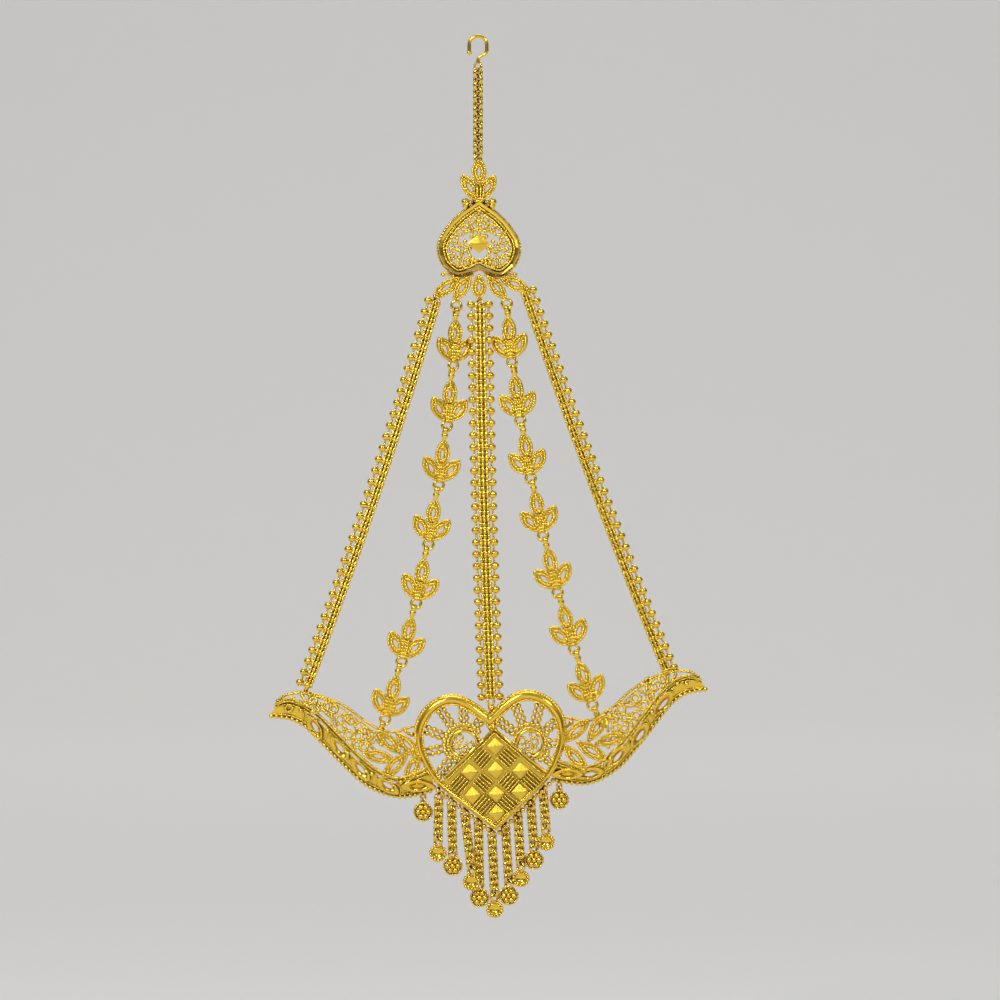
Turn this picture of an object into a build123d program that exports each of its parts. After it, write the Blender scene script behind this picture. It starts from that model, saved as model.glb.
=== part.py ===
from build123d import *

import os
from collections import namedtuple
from math import atan2, cos, degrees, hypot, radians, sin

# Gold maang tikka: a head ornament that hangs from the hair by a hook.
# Hook and chain, a pierced spade-shaped crown motif with leaves, two beaded outer bands, one beaded centre
# band and two chains of three-leaf links, which carry a pierced crescent with a heart at its middle and a
# fringe of chains with discs. X is to the wearer's left as seen from the front, Z is up, and the front faces
# -Y. Millimetres throughout. The origin is the inside of the hook's bend. Flat work is drawn as (x, z) with
# its height towards the front.

os.makedirs("parts", exist_ok=True)

FRONT = Plane.XZ  # local x, y and height become X, Z and -Y

# ---- round links of the head chain and of the fringe
LINK_R = 1.14
LINK_WIRE = 0.30
LINK_PITCH = 1.54
LINK_TURN = 45.0
HEAD_LINKS = 14
HOOK_EYE_Z = -7.2

# ---- beaded bands: two fused rings and a pin with its beads to a unit
UNIT_PITCH = 2.975
UNIT_RING_R = 1.11
UNIT_WIRE = 0.29
UNIT_JOINED = 1.78
BEAD_R = 1.0
BEAD_OUT_CENTRE = 2.35
BEAD_OUT_SIDE = 2.1
PIN_R = 0.22
STRAND_R = 0.17
GAP = 0.14

# ---- three-leaf links
EYE_R = 1.2
EYE_WIRE = 0.38
BAIL_R = 0.85
BAIL_WIRE = 0.28
BAIL_TOP = 0.38
LINK_STEM = 4.6
LINK_STEM_R = 0.36
LEAF_THICK = 1.0
Slot = namedtuple("Slot", "start long wide")
LEAF_SLOT = Slot(0.32, 0.42, 0.3)  # shares of a leaf's length and width
LEAF_COUNT = 7
FIRST_TURN = 24.0
TURN_LOSS = 8.0

# ---- where the chains start and which way they run: first point, last point, bow towards the middle, units
Run = namedtuple("Run", "x0 z0 x1 z1 bow count")
BAND_LEFT = Run(-10.5, -66.2, -43.0, -163.0, 1.0, 33)
BAND_RIGHT = Run(11.8, -63.6, 47.3, -158.6, -0.9, 33)
BAND_CENTRE = Run(0.5, -66.6, 3.2, -165.6, -0.35, 33)
LEAVES_LEFT = Run(-5.4, -67.0, -23.5, -170.5, 3.2, LEAF_COUNT)
LEAVES_RIGHT = Run(7.2, -66.5, 28.9, -166.8, -3.2, LEAF_COUNT)

# ---- crescent: its own frame has the heart's middle as origin, and height counts up from its back
CRESCENT_X = 3.5
CRESCENT_Z = -180.5
CRESCENT_ROLL = 3.3
WALL = 1.0
EDGE_HEIGHT = 1.2
# ribs of the right wing from the heart outwards: ridge point, lean of the rib towards the heart, its length
# up to the top edge and down to the bead edge, and the ridge's height
Rib = namedtuple("Rib", "x z lean up down height")
RIBS = [
    Rib(15.0, -0.6, 0, 11.0, 5.8, 3.6),
    Rib(20.0, -2.6, 0, 12.0, 4.9, 4.0),
    Rib(23.5, -3.3, 2, 11.8, 4.3, 4.2),
    Rib(27.0, -2.0, 8, 10.7, 4.5, 4.2),
    Rib(31.0, 1.0, 15, 9.2, 4.9, 4.2),
    Rib(35.2, 5.4, 25, 7.6, 4.6, 4.1),
    Rib(39.0, 9.8, 30, 6.5, 4.5, 4.0),
    Rib(42.5, 13.8, 28, 4.6, 4.5, 3.8),
    Rib(46.0, 16.8, 12, 2.8, 4.9, 3.4),
    Rib(50.0, 18.3, 0, 1.1, 4.8, 2.8),
    Rib(53.3, 17.0, 22, 0.8, 2.9, 1.9),
]
SKIRT_SCALE = {-1: 1.0, 1: 0.84}
# gaps of a wing, placed by ribs from the heart: scroll gaps in two rows above the ridge, pointed ones below
Row = namedtuple("Row", "count start step")
SCROLL_ROW = Row(10, 1.3, 0.66)
SCROLL_LEVELS = {0.36: 0.0, 0.68: 0.3}
SCROLL_GAP = (0.95, 0.65)
SLOT_ROW = Row(7, 2.3, 0.98)
SLOT_LEVEL = -0.5
SLOT_REACH = 0.22
SLOT_GAP = (1.0, 0.45)
THROUGH = 8.0

HEART_RIM = 1.5
HEART_STEP = 0.45
HEART_HEIGHT = 4.6
HEART_FIELD = 2.4
PLATE_TOP = 3.9
PLATE = [(0, 7.7), (12.6, -3.6), (0, -14.9), (-12.6, -3.6)]
STUD = 3.9
STUD_RISE = 1.1
STUD_SLOPE = 60.0
STUD_SINK = 0.02
STUDS = [(0, 3.7), (-6.2, -2.6), (0, -2.6), (6.2, -2.6), (-5.9, -8.2), (0, -8.2), (5.9, -8.2), (0, -13.2)]
# gaps of the heart's right lobe: a ring of gaps between spokes round a drop, and two holes inside the drop
DROP_X = 8.6
DROP_Z = 5.4
SPOKE_COUNT = 7
SPOKE_START = -20.0
SPOKE_STEP = 42.0
SPOKE_OUT = 5.0
SPOKE_TALL = 1.15
SPOKE_GAP = (1.5, 0.75)
HOLE_R = 0.7
HOLE_OUT = 1.2
HOLE_UP = 1.0

# ---- stems that carry eyes and bails on the crescent
BAND_STEM_SIDE = 2.4
BAND_STEM_CENTRE = 3.2
STEM_R = 0.4
BAIL_STEM = 2.6
BAIL_STEM_R = 0.45
FOOT_BEAD_Z = -0.4
FRINGE_STEM = 1.8
SIDE_STEM = 1.6
SIDE_STEM_R = 0.35

# ---- fringe: the eye that each chain hangs from, the middle of its disc, links and kind of disc
Drop = namedtuple("Drop", "top_x x y z links kind")
DROPS = [
    Drop(-9.8, -10.0, 0, -203.8, 6, "rosette"),
    Drop(-6.6, -6.3, 0, -207.0, 7, "cluster"),
    Drop(-3.3, -1.6, -1.8, -210.9, 8, "rosette"),
    Drop(0.1, 0.4, 0, -214.9, 9, "cluster"),
    Drop(3.5, 4.2, -0.4, -217.8, 9, "rosette"),
    Drop(6.9, 7.7, 0, -214.4, 8, "cluster"),
    Drop(9.9, 10.7, -0.4, -210.1, 8, "rosette"),
    Drop(13.1, 14.0, 0, -205.5, 7, "cluster"),
    Drop(16.3, 17.0, 0, -201.0, 5, "rosette"),
]
DISC_R = 2.25
DISC_EYE = 2.95
DISC_RIM = 0.5
DISC_RIM_DEEP = 0.9
DISC_BACK = -0.4
DISC_BAR = 0.4
DISH_R = 1.7
DISH_DEEP = 0.5
DISH_BACK = -0.35
ROSETTE_GRAINS = 12
ROSETTE_GRAIN_R = 0.5
KNOB_R = 0.7
GRAIN_R = 0.54
GRAIN_OUT = 1.15
SIDE_DISCS = [(-13.7, -189.9), (20.3, -186.9)]
SIDE_EYE_R = 0.8
SIDE_EYE_WIRE = 0.25
SIDE_PITCH = 0.98
SIDE_DISC_EYE = 2.6


def save(node, shape):
    """Writes one node."""
    export_step(shape, f"parts/{node}.step")
    print(node, len(shape.solids()), round(shape.volume, 2), shape.is_valid)


def ring(radius, wire, turn=0.0):
    """A wire ring in a plane that holds Z, turned about Z from the front plane."""
    return Rot(0, 0, turn) * Rot(90, 0, 0) * Torus(radius, wire)


def flat_ring(radius, wire, turn):
    """A ring of square section in a plane that holds Z, turned about Z from the front plane."""
    face = Circle(radius + wire) - Circle(radius - wire)
    return Rot(0, 0, turn) * Rot(90, 0, 0) * extrude(face, wire, both=True)


def bead(side, out, z=0.0):
    """A ball beside the middle, its seam on the outer side so that its pin meets it cleanly."""
    return Pos(side * out, 0, z) * Rot(0, 0, 90 - 90 * side) * Rot(90, 0, 0) * Sphere(BEAD_R)


def rod(start, end, radius):
    """A round bar between two points."""
    a, b = Vector(*start), Vector(*end)
    along = b - a
    return Plane(origin=a, z_dir=along) * Cylinder(
        radius, along.length, align=(Align.CENTER, Align.CENTER, Align.MIN)
    )


def on_run(run, distance):
    """Place on a run that sags: the point at that distance from its start, turned to hang along it."""
    dx, dz = run.x1 - run.x0, run.z1 - run.z0
    chord = hypot(dx, dz)
    t = distance / chord
    side = (-dz / chord, dx / chord)
    lift = 4 * run.bow * t * (1 - t)
    x = run.x0 + t * dx + lift * side[0]
    z = run.z0 + t * dz + lift * side[1]
    slope = 4 * run.bow * (1 - 2 * t) / chord
    tx, tz = dx / chord + slope * side[0], dz / chord + slope * side[1]
    return Pos(x, 0, z) * Rot(0, -degrees(atan2(tx, -tz)), 0)


def fuse(*solids):
    """One solid of several that meet."""
    whole = solids[0].fuse(*solids[1:])
    parts = whole.solids()
    if len(parts) > 1:
        print("not joined:", [round(p.volume, 3) for p in parts])
    return parts[0] if len(parts) == 1 else whole


# ---------------------------------------------------------------- hook and head chain
HOOK_WIRE = 0.45
HOOK_BEND = 2.2
HOOK_START = 0.2
HOOK_NECK = 2.9
HOOK_TAIL = 1.9
HOOK_TIP = 1.35


def hair_hook():
    """A plain hook with its eye below: the inside of its bend is the origin."""
    bottom = HOOK_EYE_Z + LINK_R
    top = HOOK_WIRE - HOOK_BEND
    turn = 2 * degrees(atan2(HOOK_BEND, HOOK_NECK))
    arc = HOOK_NECK / (2 * sin(radians(turn)))
    path = Line((0, bottom), (0, bottom + HOOK_START))
    path += JernArc(path @ 1, path % 1, arc, -turn)
    path += JernArc(path @ 1, path % 1, arc, turn)
    path += Line(path @ 1, (HOOK_BEND, top))
    path += JernArc((HOOK_BEND, top), (0, 1), HOOK_BEND, 180)
    path += Line((-HOOK_BEND, top), (-HOOK_BEND, top - HOOK_TAIL))
    profile = Plane(origin=(0, bottom, 0), z_dir=(0, 1, 0)) * Circle(HOOK_WIRE)
    body = FRONT * sweep(profile, path=Wire(path.edges()))
    tip = FRONT * (Pos(-HOOK_BEND, top - HOOK_TAIL, 0) * Sphere(HOOK_WIRE * HOOK_TIP))
    eye = Pos(0, 0, HOOK_EYE_Z) * ring(LINK_R, LINK_WIRE, -LINK_TURN)
    return fuse(body.solid(), tip, eye)


def head_chain():
    """Round links, each a quarter turn from the last."""
    links = []
    for i in range(1, HEAD_LINKS + 1):
        turn = LINK_TURN if i % 2 else -LINK_TURN
        links.append(Pos(0, 0, HOOK_EYE_Z - i * LINK_PITCH) * ring(LINK_R, LINK_WIRE, turn))
    return Compound(links)


# ---------------------------------------------------------------- beaded bands
def band_unit(bead_sides, bead_out):
    """Pin and beads at the origin, two joined rings below it, and a short strand under each bead."""
    solids = [
        Pos(0, 0, -UNIT_RING_R) * flat_ring(UNIT_RING_R, UNIT_WIRE, LINK_TURN),
        Pos(0, 0, -UNIT_RING_R - UNIT_JOINED) * flat_ring(UNIT_RING_R, UNIT_WIRE, -LINK_TURN),
    ]
    drop = UNIT_PITCH - BEAD_R - GAP
    for side in bead_sides:
        solids.append(Pos(side * bead_out / 2, 0, 0) * Box(bead_out, 2 * PIN_R, 2 * PIN_R))
        solids.append(bead(side, bead_out))
        solids.append(Pos(side * bead_out, 0, -drop / 2) * Box(2 * STRAND_R, 2 * STRAND_R, drop))
    return fuse(*solids)


def band(run, bead_sides, bead_out):
    """A chain of units along a run."""
    unit = band_unit(bead_sides, bead_out)
    return Compound([on_run(run, i * UNIT_PITCH) * unit for i in range(run.count)])


def band_top_eye(run):
    """The ring that holds a band's first unit."""
    drop = UNIT_JOINED + 2 * UNIT_RING_R - UNIT_PITCH - UNIT_RING_R
    return on_run(run, drop) * flat_ring(UNIT_RING_R, UNIT_WIRE, -LINK_TURN)


def band_foot_eye(run):
    """The ring that a band's last unit holds."""
    return on_run(run, run.count * UNIT_PITCH + UNIT_RING_R) * flat_ring(UNIT_RING_R, UNIT_WIRE, LINK_TURN)


# ---------------------------------------------------------------- leaves
def leaf_outline(length, width):
    """A pointed leaf from the origin up the y axis."""
    right = ThreePointArc((0, 0), (width / 2, length / 2), (0, length))
    left = ThreePointArc((0, length), (-width / 2, length / 2), (0, 0))
    return make_face([right, left])


def leaf_place(base, tip):
    """Where a leaf of the flat stands: at its base, turned towards its tip."""
    return Pos(base[0], base[1]) * Rot(0, 0, degrees(atan2(tip[1] - base[1], tip[0] - base[0])) - 90)


def leaf_plate(leaves, bars=()):
    """A plate of leaves (base, tip, width) joined by bars (x, z, width, height), with a slot in each leaf."""
    face = None
    for base, tip, width in leaves:
        length = hypot(tip[0] - base[0], tip[1] - base[1])
        outline = leaf_place(base, tip) * leaf_outline(length, width)
        face = outline if face is None else face + outline
    for x, z, width, height in bars:
        face += Pos(x, z) * Rectangle(width, height)
    for base, tip, width in leaves:
        length = hypot(tip[0] - base[0], tip[1] - base[1])
        slot = leaf_outline(length * LEAF_SLOT.long, width * LEAF_SLOT.wide)
        face -= leaf_place(base, tip) * Pos(0, length * LEAF_SLOT.start) * slot
    return Pos(0, 0, -LEAF_THICK / 2) * extrude(face, LEAF_THICK)


def bail():
    """A loop across the front plane at the origin's eye, with a stem down to the first leaf."""
    loop = Pos(0, 0, -BAIL_TOP - BAIL_R) * ring(BAIL_R, BAIL_WIRE, 90)
    stem = rod((0, 0, -BAIL_TOP - 2 * BAIL_R), (0, 0, -LINK_STEM), LINK_STEM_R)
    return loop, stem


# leaves of a link as base, tip and width, and the bar that joins them, all above the link's foot
LINK_LEAVES = [((0, 2.4), (0, 10.6), 3.7), ((0, 0), (4.5, 5.9), 3.5), ((0, 0), (-4.5, 5.9), 3.5)]
LINK_BAR = (0, 2.0, 1.5, 3.4)
LINK_FOOT = 1.0


def leaf_link(pitch):
    """Three leaves with a bail above and an eye below. The origin is the eye that it hangs from."""
    plate = Pos(0, LINK_FOOT - pitch, 0) * leaf_plate(LINK_LEAVES, [LINK_BAR])
    eye = Pos(0, 0, -pitch) * ring(EYE_R, EYE_WIRE)
    loop, stem = bail()
    return fuse(FRONT * plate, loop, stem, eye)


def pitch_of(run):
    """Distance from one unit to the next along a run."""
    return hypot(run.x1 - run.x0, run.z1 - run.z0) / run.count


# ---------------------------------------------------------------- crown motif
SPADE_RIM = 1.5
SPADE_STEP = 0.35
SPADE_THICK = 2.4
SPADE_BACK = -0.6
LACE_BACK = 0.9
LACE_THICK = 0.9
SPADE_STUD = 2.9
SPADE_STUD_Z = -51.2
SPADE_STUD_BASE = 1.0
SPADE_STUD_RISE = 0.9
SPADE_STUD_SLOPE = 56.0
TREFOIL = [((0, -38.6), (0, -30.2), 3.5), ((0, -41.2), (4.0, -34.3), 3.2), ((0, -41.2), (-4.0, -34.3), 3.2)]
CROWN_BARS = [(0, -40.2, 1.6, 4.0), (0, -41.3, 7.0, 0.9), (0, -59.4, 19.0, 1.1)]
CROWN_BALLS = [(3.6, -41.0, 0.85), (9.3, -59.0, 0.75)]
CROWN_BALL_HEIGHT = 0.2
MOTIF_X = 0.2
Fan = namedtuple("Fan", "base_x base_z tip_x tip_z width")
FAN = [
    Fan(-5.6, -59.4, -11.6, -65.4, 3.4),
    Fan(-1.4, -59.0, -6.0, -66.0, 3.3),
    Fan(0.2, -58.0, 0.2, -65.3, 3.3),
    Fan(1.8, -59.0, 7.1, -65.6, 3.3),
    Fan(5.6, -59.4, 12.6, -63.0, 3.4),
]
# gaps of the spade's lace, right half: middle, size and turn of each
Gap = namedtuple("Gap", "x z long wide turn")
SPADE_GAPS = [
    Gap(1.5, -45.5, 1.3, 0.9, 60),
    Gap(2.6, -47.0, 1.9, 1.3, 45),
    Gap(4.6, -48.6, 1.7, 1.2, 60),
    Gap(3.0, -50.2, 2.0, 1.4, 0),
    Gap(6.2, -50.2, 1.8, 1.2, 50),
    Gap(5.3, -52.2, 1.5, 1.2, 0),
    Gap(7.4, -52.6, 2.0, 1.4, 70),
    Gap(3.7, -53.9, 1.7, 1.3, 90),
    Gap(5.9, -54.4, 1.5, 1.1, 0),
    Gap(6.9, -56.1, 2.1, 1.6, 60),
    Gap(4.3, -56.4, 1.8, 1.3, 10),
    Gap(1.9, -55.9, 1.8, 1.2, 40),
]


def spade_face():
    """Outline of the spade, point up."""
    edges = []
    for side in (1, -1):
        edges.append(Line((0, -40.7), (side * 7.3, -47.8)))
        edges.append(ThreePointArc((side * 7.3, -47.8), (side * 10.1, -53.2), (side * 7.2, -58.6)))
        edges.append(ThreePointArc((side * 7.2, -58.6), (side * 3.8, -59.3), (0, -57.7)))
    return make_face(edges)


def inset(outline, distance):
    """The face inside an outline, that far from it."""
    return offset(outline, -distance).faces()[0]


def stepped_rim(outline, width, height, step):
    """A wall of a given width inside an outline, with a narrower step along its front."""
    wall = extrude(outline - inset(outline, width), height - step)
    crest = extrude(inset(outline, step) - inset(outline, width - step), height)
    return fuse(wall, crest)


def spade():
    """Polished rim with pierced lace inside and a stud at its middle."""
    outline = spade_face()
    rim = stepped_rim(outline, SPADE_RIM, SPADE_THICK, SPADE_STEP)
    lace = inset(outline, SPADE_RIM - 0.2)
    for g in SPADE_GAPS:
        for side in (1, -1):
            lace -= Pos(side * g.x, g.z) * Rot(0, 0, side * g.turn) * Ellipse(g.long / 2, g.wide / 2)
    lace = Pos(0, 0, LACE_BACK) * extrude(lace, LACE_THICK)
    square = Pos(0, SPADE_STUD_Z, LACE_BACK) * Rot(0, 0, 45) * Rectangle(SPADE_STUD, SPADE_STUD)
    stud = extrude(square, SPADE_STUD_BASE)
    point = extrude(Pos(0, 0, SPADE_STUD_BASE) * square, SPADE_STUD_RISE, taper=SPADE_STUD_SLOPE)
    return fuse(rim, lace, stud, point)


def crown_motif():
    """Trefoil, spade and fan of leaves, soldered as one, with the eyes that the chains hang from."""
    leaves = TREFOIL + [((f.base_x, f.base_z), (f.tip_x, f.tip_z), f.width) for f in FAN]
    flat = [leaf_plate(leaves, CROWN_BARS), Pos(0, 0, SPADE_BACK) * spade()]
    for side in (1, -1):
        outward = Rot(0, 0, 90 - 90 * side) * Rot(90, 0, 0)
        for x, z, radius in CROWN_BALLS:
            flat.append(Pos(side * x, z, CROWN_BALL_HEIGHT) * outward * Sphere(radius))
    body = FRONT * (Pos(MOTIF_X, 0, 0) * fuse(*flat))
    eyes = [Pos(0, 0, HOOK_EYE_Z - (HEAD_LINKS + 1) * LINK_PITCH) * ring(LINK_R, LINK_WIRE, LINK_TURN)]
    eyes += [band_top_eye(run) for run in (BAND_LEFT, BAND_RIGHT, BAND_CENTRE)]
    eyes += [Pos(run.x0, 0, run.z0) * ring(EYE_R, EYE_WIRE) for run in (LEAVES_LEFT, LEAVES_RIGHT)]
    for eye in eyes:
        body = fuse(body, eye)
    return body


# ---------------------------------------------------------------- crescent
def heart_face():
    """Outline of the heart, point down."""
    edges = []
    for side in (1, -1):
        edges.append(ThreePointArc((0, 11.4), (side * 3.5, 15.0), (side * 8.8, 16.9)))
        edges.append(ThreePointArc((side * 8.8, 16.9), (side * 15.9, 13.8), (side * 18.8, 6.8)))
        edges.append(ThreePointArc((side * 18.8, 6.8), (side * 17.7, 0.6), (side * 14.6, -5.0)))
        edges.append(Line((side * 14.6, -5.0), (0, -17.5)))
    return make_face(edges)


def drop_gaps():
    """Gaps of one lobe: a ring of them between the spokes round the drop and two inside it."""
    gaps = []
    for i in range(SPOKE_COUNT):
        angle = SPOKE_START + i * SPOKE_STEP
        x = DROP_X + SPOKE_OUT * cos(radians(angle))
        z = DROP_Z + SPOKE_OUT * sin(radians(angle)) * SPOKE_TALL
        gaps.append(Pos(x, z) * Rot(0, 0, angle) * Ellipse(*SPOKE_GAP))
    gaps += [Pos(DROP_X + side * HOLE_OUT, DROP_Z + HOLE_UP) * Circle(HOLE_R) for side in (-1, 1)]
    return gaps


def heart():
    """Bevelled box rim, pierced lobes and a raised diamond plate with eight pointed studs."""
    outline = heart_face()
    rim = stepped_rim(outline, HEART_RIM, HEART_HEIGHT, HEART_STEP)
    field = inset(outline, HEART_RIM - 0.2)
    for side in (1, -1):
        for gap in drop_gaps():
            field -= gap if side > 0 else mirror(gap, Plane.YZ)
    plate = make_face(Polyline(*PLATE, close=True))
    solids = [
        rim,
        Pos(0, 0, HEART_FIELD) * extrude(field, WALL),
        Pos(0, 0, HEART_FIELD) * extrude(plate, PLATE_TOP - HEART_FIELD),
    ]
    stud = Rot(0, 0, 45) * extrude(Rectangle(STUD, STUD), STUD_RISE, taper=STUD_SLOPE)
    solids += [Pos(x, z, PLATE_TOP - STUD_SINK) * stud for x, z in STUDS]
    return fuse(*solids)


def rib_points(rib, side):
    """Top edge, ridge and bead edge of a rib, in the flat."""
    ux, uz = -sin(radians(rib.lean)), cos(radians(rib.lean))
    down = rib.down * SKIRT_SCALE[side]
    top = (side * (rib.x + rib.up * ux), rib.z + rib.up * uz)
    bead = (side * (rib.x - down * ux), rib.z - down * uz)
    return top, (side * rib.x, rib.z), bead


def wing_point(side, s, t):
    """A point of the wing: s counts ribs from the heart, t runs from the ridge to the top edge or to -1."""
    i = min(int(s), len(RIBS) - 2)
    f = s - i
    ends = []
    for rib in (RIBS[i], RIBS[i + 1]):
        top, ridge, bead = rib_points(rib, side)
        far = top if t > 0 else bead
        ends.append([ridge[k] + abs(t) * (far[k] - ridge[k]) for k in (0, 1)])
    return ends[0][0] + f * (ends[1][0] - ends[0][0]), ends[0][1] + f * (ends[1][1] - ends[0][1])


def wing(side):
    """A domed shell from rib to rib: set back along both edges and high along its ridge."""
    sections = []
    for rib in RIBS:
        top, ridge, bead = rib_points(rib, side)
        under = rib.height - WALL
        points = [(*top, 0), (*top, EDGE_HEIGHT), (*ridge, rib.height)]
        points += [(*bead, EDGE_HEIGHT), (*bead, 0), (*ridge, under)]
        sections.append(Polyline(*points, close=True))
    return Solid.make_loft([Wire(line.edges()) for line in sections], ruled=True)


def wing_gaps(side):
    """Cutters of one wing: scroll gaps between top edge and ridge, pointed gaps in the skirt."""
    cutters = []
    for i in range(SCROLL_ROW.count):
        for level, shift in SCROLL_LEVELS.items():
            x, z = wing_point(side, SCROLL_ROW.start + SCROLL_ROW.step * i + shift, level)
            cutters.append(Pos(x, z, -1) * extrude(Ellipse(*SCROLL_GAP), THROUGH))
    for i in range(SLOT_ROW.count):
        s = SLOT_ROW.start + SLOT_ROW.step * i
        ax, az = wing_point(side, s - SLOT_REACH, SLOT_LEVEL)
        bx, bz = wing_point(side, s + SLOT_REACH, SLOT_LEVEL)
        turn = degrees(atan2(bz - az, bx - ax))
        slot = Rot(0, 0, turn) * extrude(Ellipse(*SLOT_GAP), THROUGH)
        cutters.append(Pos((ax + bx) / 2, (az + bz) / 2, -1) * slot)
    return cutters


def crescent():
    """Heart and wings soldered as one, with the eyes and bails that meet the chains."""
    solids = [heart()]
    for side in (1, -1):
        body = wing(side)
        for cutter in wing_gaps(side):
            body -= cutter
        core = inset(heart_face(), HEART_RIM / 2)
        body -= Pos(0, 0, -1) * extrude(core, THROUGH)
        solids.append(body.solids().sort_by(SortBy.VOLUME)[-1])
    flat = FRONT * fuse(*solids)
    body = Pos(CRESCENT_X, EDGE_HEIGHT / 2, CRESCENT_Z) * Rot(0, -CRESCENT_ROLL, 0) * flat
    for eye in crescent_eyes():
        body = fuse(body, eye)
    return body


def band_foot(run, side, stem):
    """The eye of a band with its stem, and on an outer band the last bead."""
    place = on_run(run, run.count * UNIT_PITCH + 2 * UNIT_RING_R)
    eye = [band_foot_eye(run), place * rod((0, 0, 0), (0, 0, -stem), STEM_R)]
    if side:
        bar = Box(BEAD_OUT_SIDE, 2 * PIN_R, 2 * PIN_R)
        eye.append(place * Pos(side * BEAD_OUT_SIDE / 2, 0, FOOT_BEAD_Z) * bar)
        eye.append(place * bead(side, BEAD_OUT_SIDE, FOOT_BEAD_Z))
    return fuse(*eye)


def bail_foot(run):
    """The bail that a leaf chain's last eye holds, with its stem."""
    foot = BAIL_TOP + 2 * BAIL_R
    loop = Pos(0, 0, BAIL_R - foot) * ring(BAIL_R, BAIL_WIRE, 90)
    stem = rod((0, 0, -foot), (0, 0, -foot - BAIL_STEM), BAIL_STEM_R)
    return on_run(run, run.count * pitch_of(run)) * fuse(loop, stem)


def crescent_eyes():
    """Eyes of the bands, bails of the leaf chains and eyes of the fringe, each with its stem."""
    eyes = [
        band_foot(BAND_LEFT, -1, BAND_STEM_SIDE),
        band_foot(BAND_RIGHT, 1, BAND_STEM_SIDE),
        band_foot(BAND_CENTRE, 0, BAND_STEM_CENTRE),
        bail_foot(LEAVES_LEFT),
        bail_foot(LEAVES_RIGHT),
    ]
    stem = rod((0, 0, LINK_R), (0, 0, LINK_R + FRINGE_STEM), STEM_R)
    large = fuse(ring(LINK_R, LINK_WIRE, LINK_TURN), stem)
    eyes += [Pos(drop.top_x, 0, drop_top(drop)) * large for drop in DROPS]
    stem = rod((0, 0, SIDE_EYE_R), (0, 0, SIDE_EYE_R + SIDE_STEM), SIDE_STEM_R)
    small = fuse(ring(SIDE_EYE_R, SIDE_EYE_WIRE, LINK_TURN), stem)
    eyes += [Pos(x, 0, z) * small for x, z in SIDE_DISCS]
    return eyes


# ---------------------------------------------------------------- fringe
def drop_top(drop):
    """Height of the eye that a fringe chain hangs from."""
    return drop.z + DISC_EYE + (drop.links + 1) * LINK_PITCH


def fringe_chain(drop):
    """Round links from the crescent's eye to the disc's eye."""
    top, foot = drop_top(drop), drop.z + DISC_EYE
    links = []
    for i in range(1, drop.links + 1):
        t = i / (drop.links + 1)
        turn = -LINK_TURN if i % 2 else LINK_TURN
        x = drop.top_x + t * (drop.x - drop.top_x)
        links.append(Pos(x, t * drop.y, top + t * (foot - top)) * ring(LINK_R, LINK_WIRE, turn))
    return Compound(links)


def cluster():
    """A ring with seven grains on three bars."""
    rim = Pos(0, 0, DISC_BACK) * extrude(Circle(DISC_R) - Circle(DISC_R - DISC_RIM), DISC_RIM_DEEP)
    grains = [Sphere(GRAIN_R)]
    grains += [Rot(0, 0, 60 * i) * Pos(GRAIN_OUT, 0, 0) * Sphere(GRAIN_R) for i in range(6)]
    bars = [Rot(0, 0, 60 * i) * Box(2 * DISC_R - DISC_BAR, 0.5, DISC_BAR) for i in range(3)]
    return fuse(rim, *grains, *bars)


def rosette():
    """Twelve grains round a dish with a knob."""
    dish = Pos(0, 0, DISH_BACK) * Cylinder(DISH_R, DISH_DEEP)
    step = 360 / ROSETTE_GRAINS
    place = Pos(DISC_R - ROSETTE_GRAIN_R, 0, 0)
    grains = [Rot(0, 0, step * i) * place * Sphere(ROSETTE_GRAIN_R) for i in range(ROSETTE_GRAINS)]
    return fuse(dish, *grains, Sphere(KNOB_R))


def disc(kind):
    """A small disc that faces front."""
    return cluster() if kind == "cluster" else rosette()


def fringe_disc(drop):
    """The disc of a fringe chain, with the eye that its last link holds."""
    turn = LINK_TURN if (drop.links + 1) % 2 == 0 else -LINK_TURN
    eye = Pos(0, 0, DISC_EYE) * ring(LINK_R, LINK_WIRE, turn)
    return Pos(drop.x, drop.y, drop.z) * fuse(FRONT * disc(drop.kind), eye)


def side_disc(x, z):
    """A disc that hangs right below its eye on the crescent."""
    eye = Pos(0, 0, SIDE_DISC_EYE) * ring(SIDE_EYE_R, SIDE_EYE_WIRE, -LINK_TURN)
    return Pos(x, 0, z - SIDE_PITCH - SIDE_DISC_EYE) * fuse(FRONT * disc("cluster"), eye)


def main():
    """Writes every node."""
    save("hair_hook", hair_hook())
    save("head_chain", head_chain())
    save("crown_motif", crown_motif())
    save("band_centre", band(BAND_CENTRE, (1, -1), BEAD_OUT_CENTRE))
    save("band_left", band(BAND_LEFT, (-1,), BEAD_OUT_SIDE))
    save("band_right", band(BAND_RIGHT, (1,), BEAD_OUT_SIDE))
    for side, run in (("left", LEAVES_LEFT), ("right", LEAVES_RIGHT)):
        link = leaf_link(pitch_of(run))
        for i in range(LEAF_COUNT):
            turn = max(FIRST_TURN - i * TURN_LOSS, 0) * (1 if side == "left" else -1)
            save(f"leaf_link_{side}_{i + 1}", on_run(run, i * pitch_of(run)) * Rot(0, 0, turn) * link)
    save("crescent", crescent())
    for i, drop in enumerate(DROPS, 1):
        save(f"fringe_chain_{i}", fringe_chain(drop))
        save(f"fringe_disc_{i}", fringe_disc(drop))
    for side, (x, z) in zip(("left", "right"), SIDE_DISCS):
        save(f"side_disc_{side}", side_disc(x, z))


if __name__ == "__main__":
    main()
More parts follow.
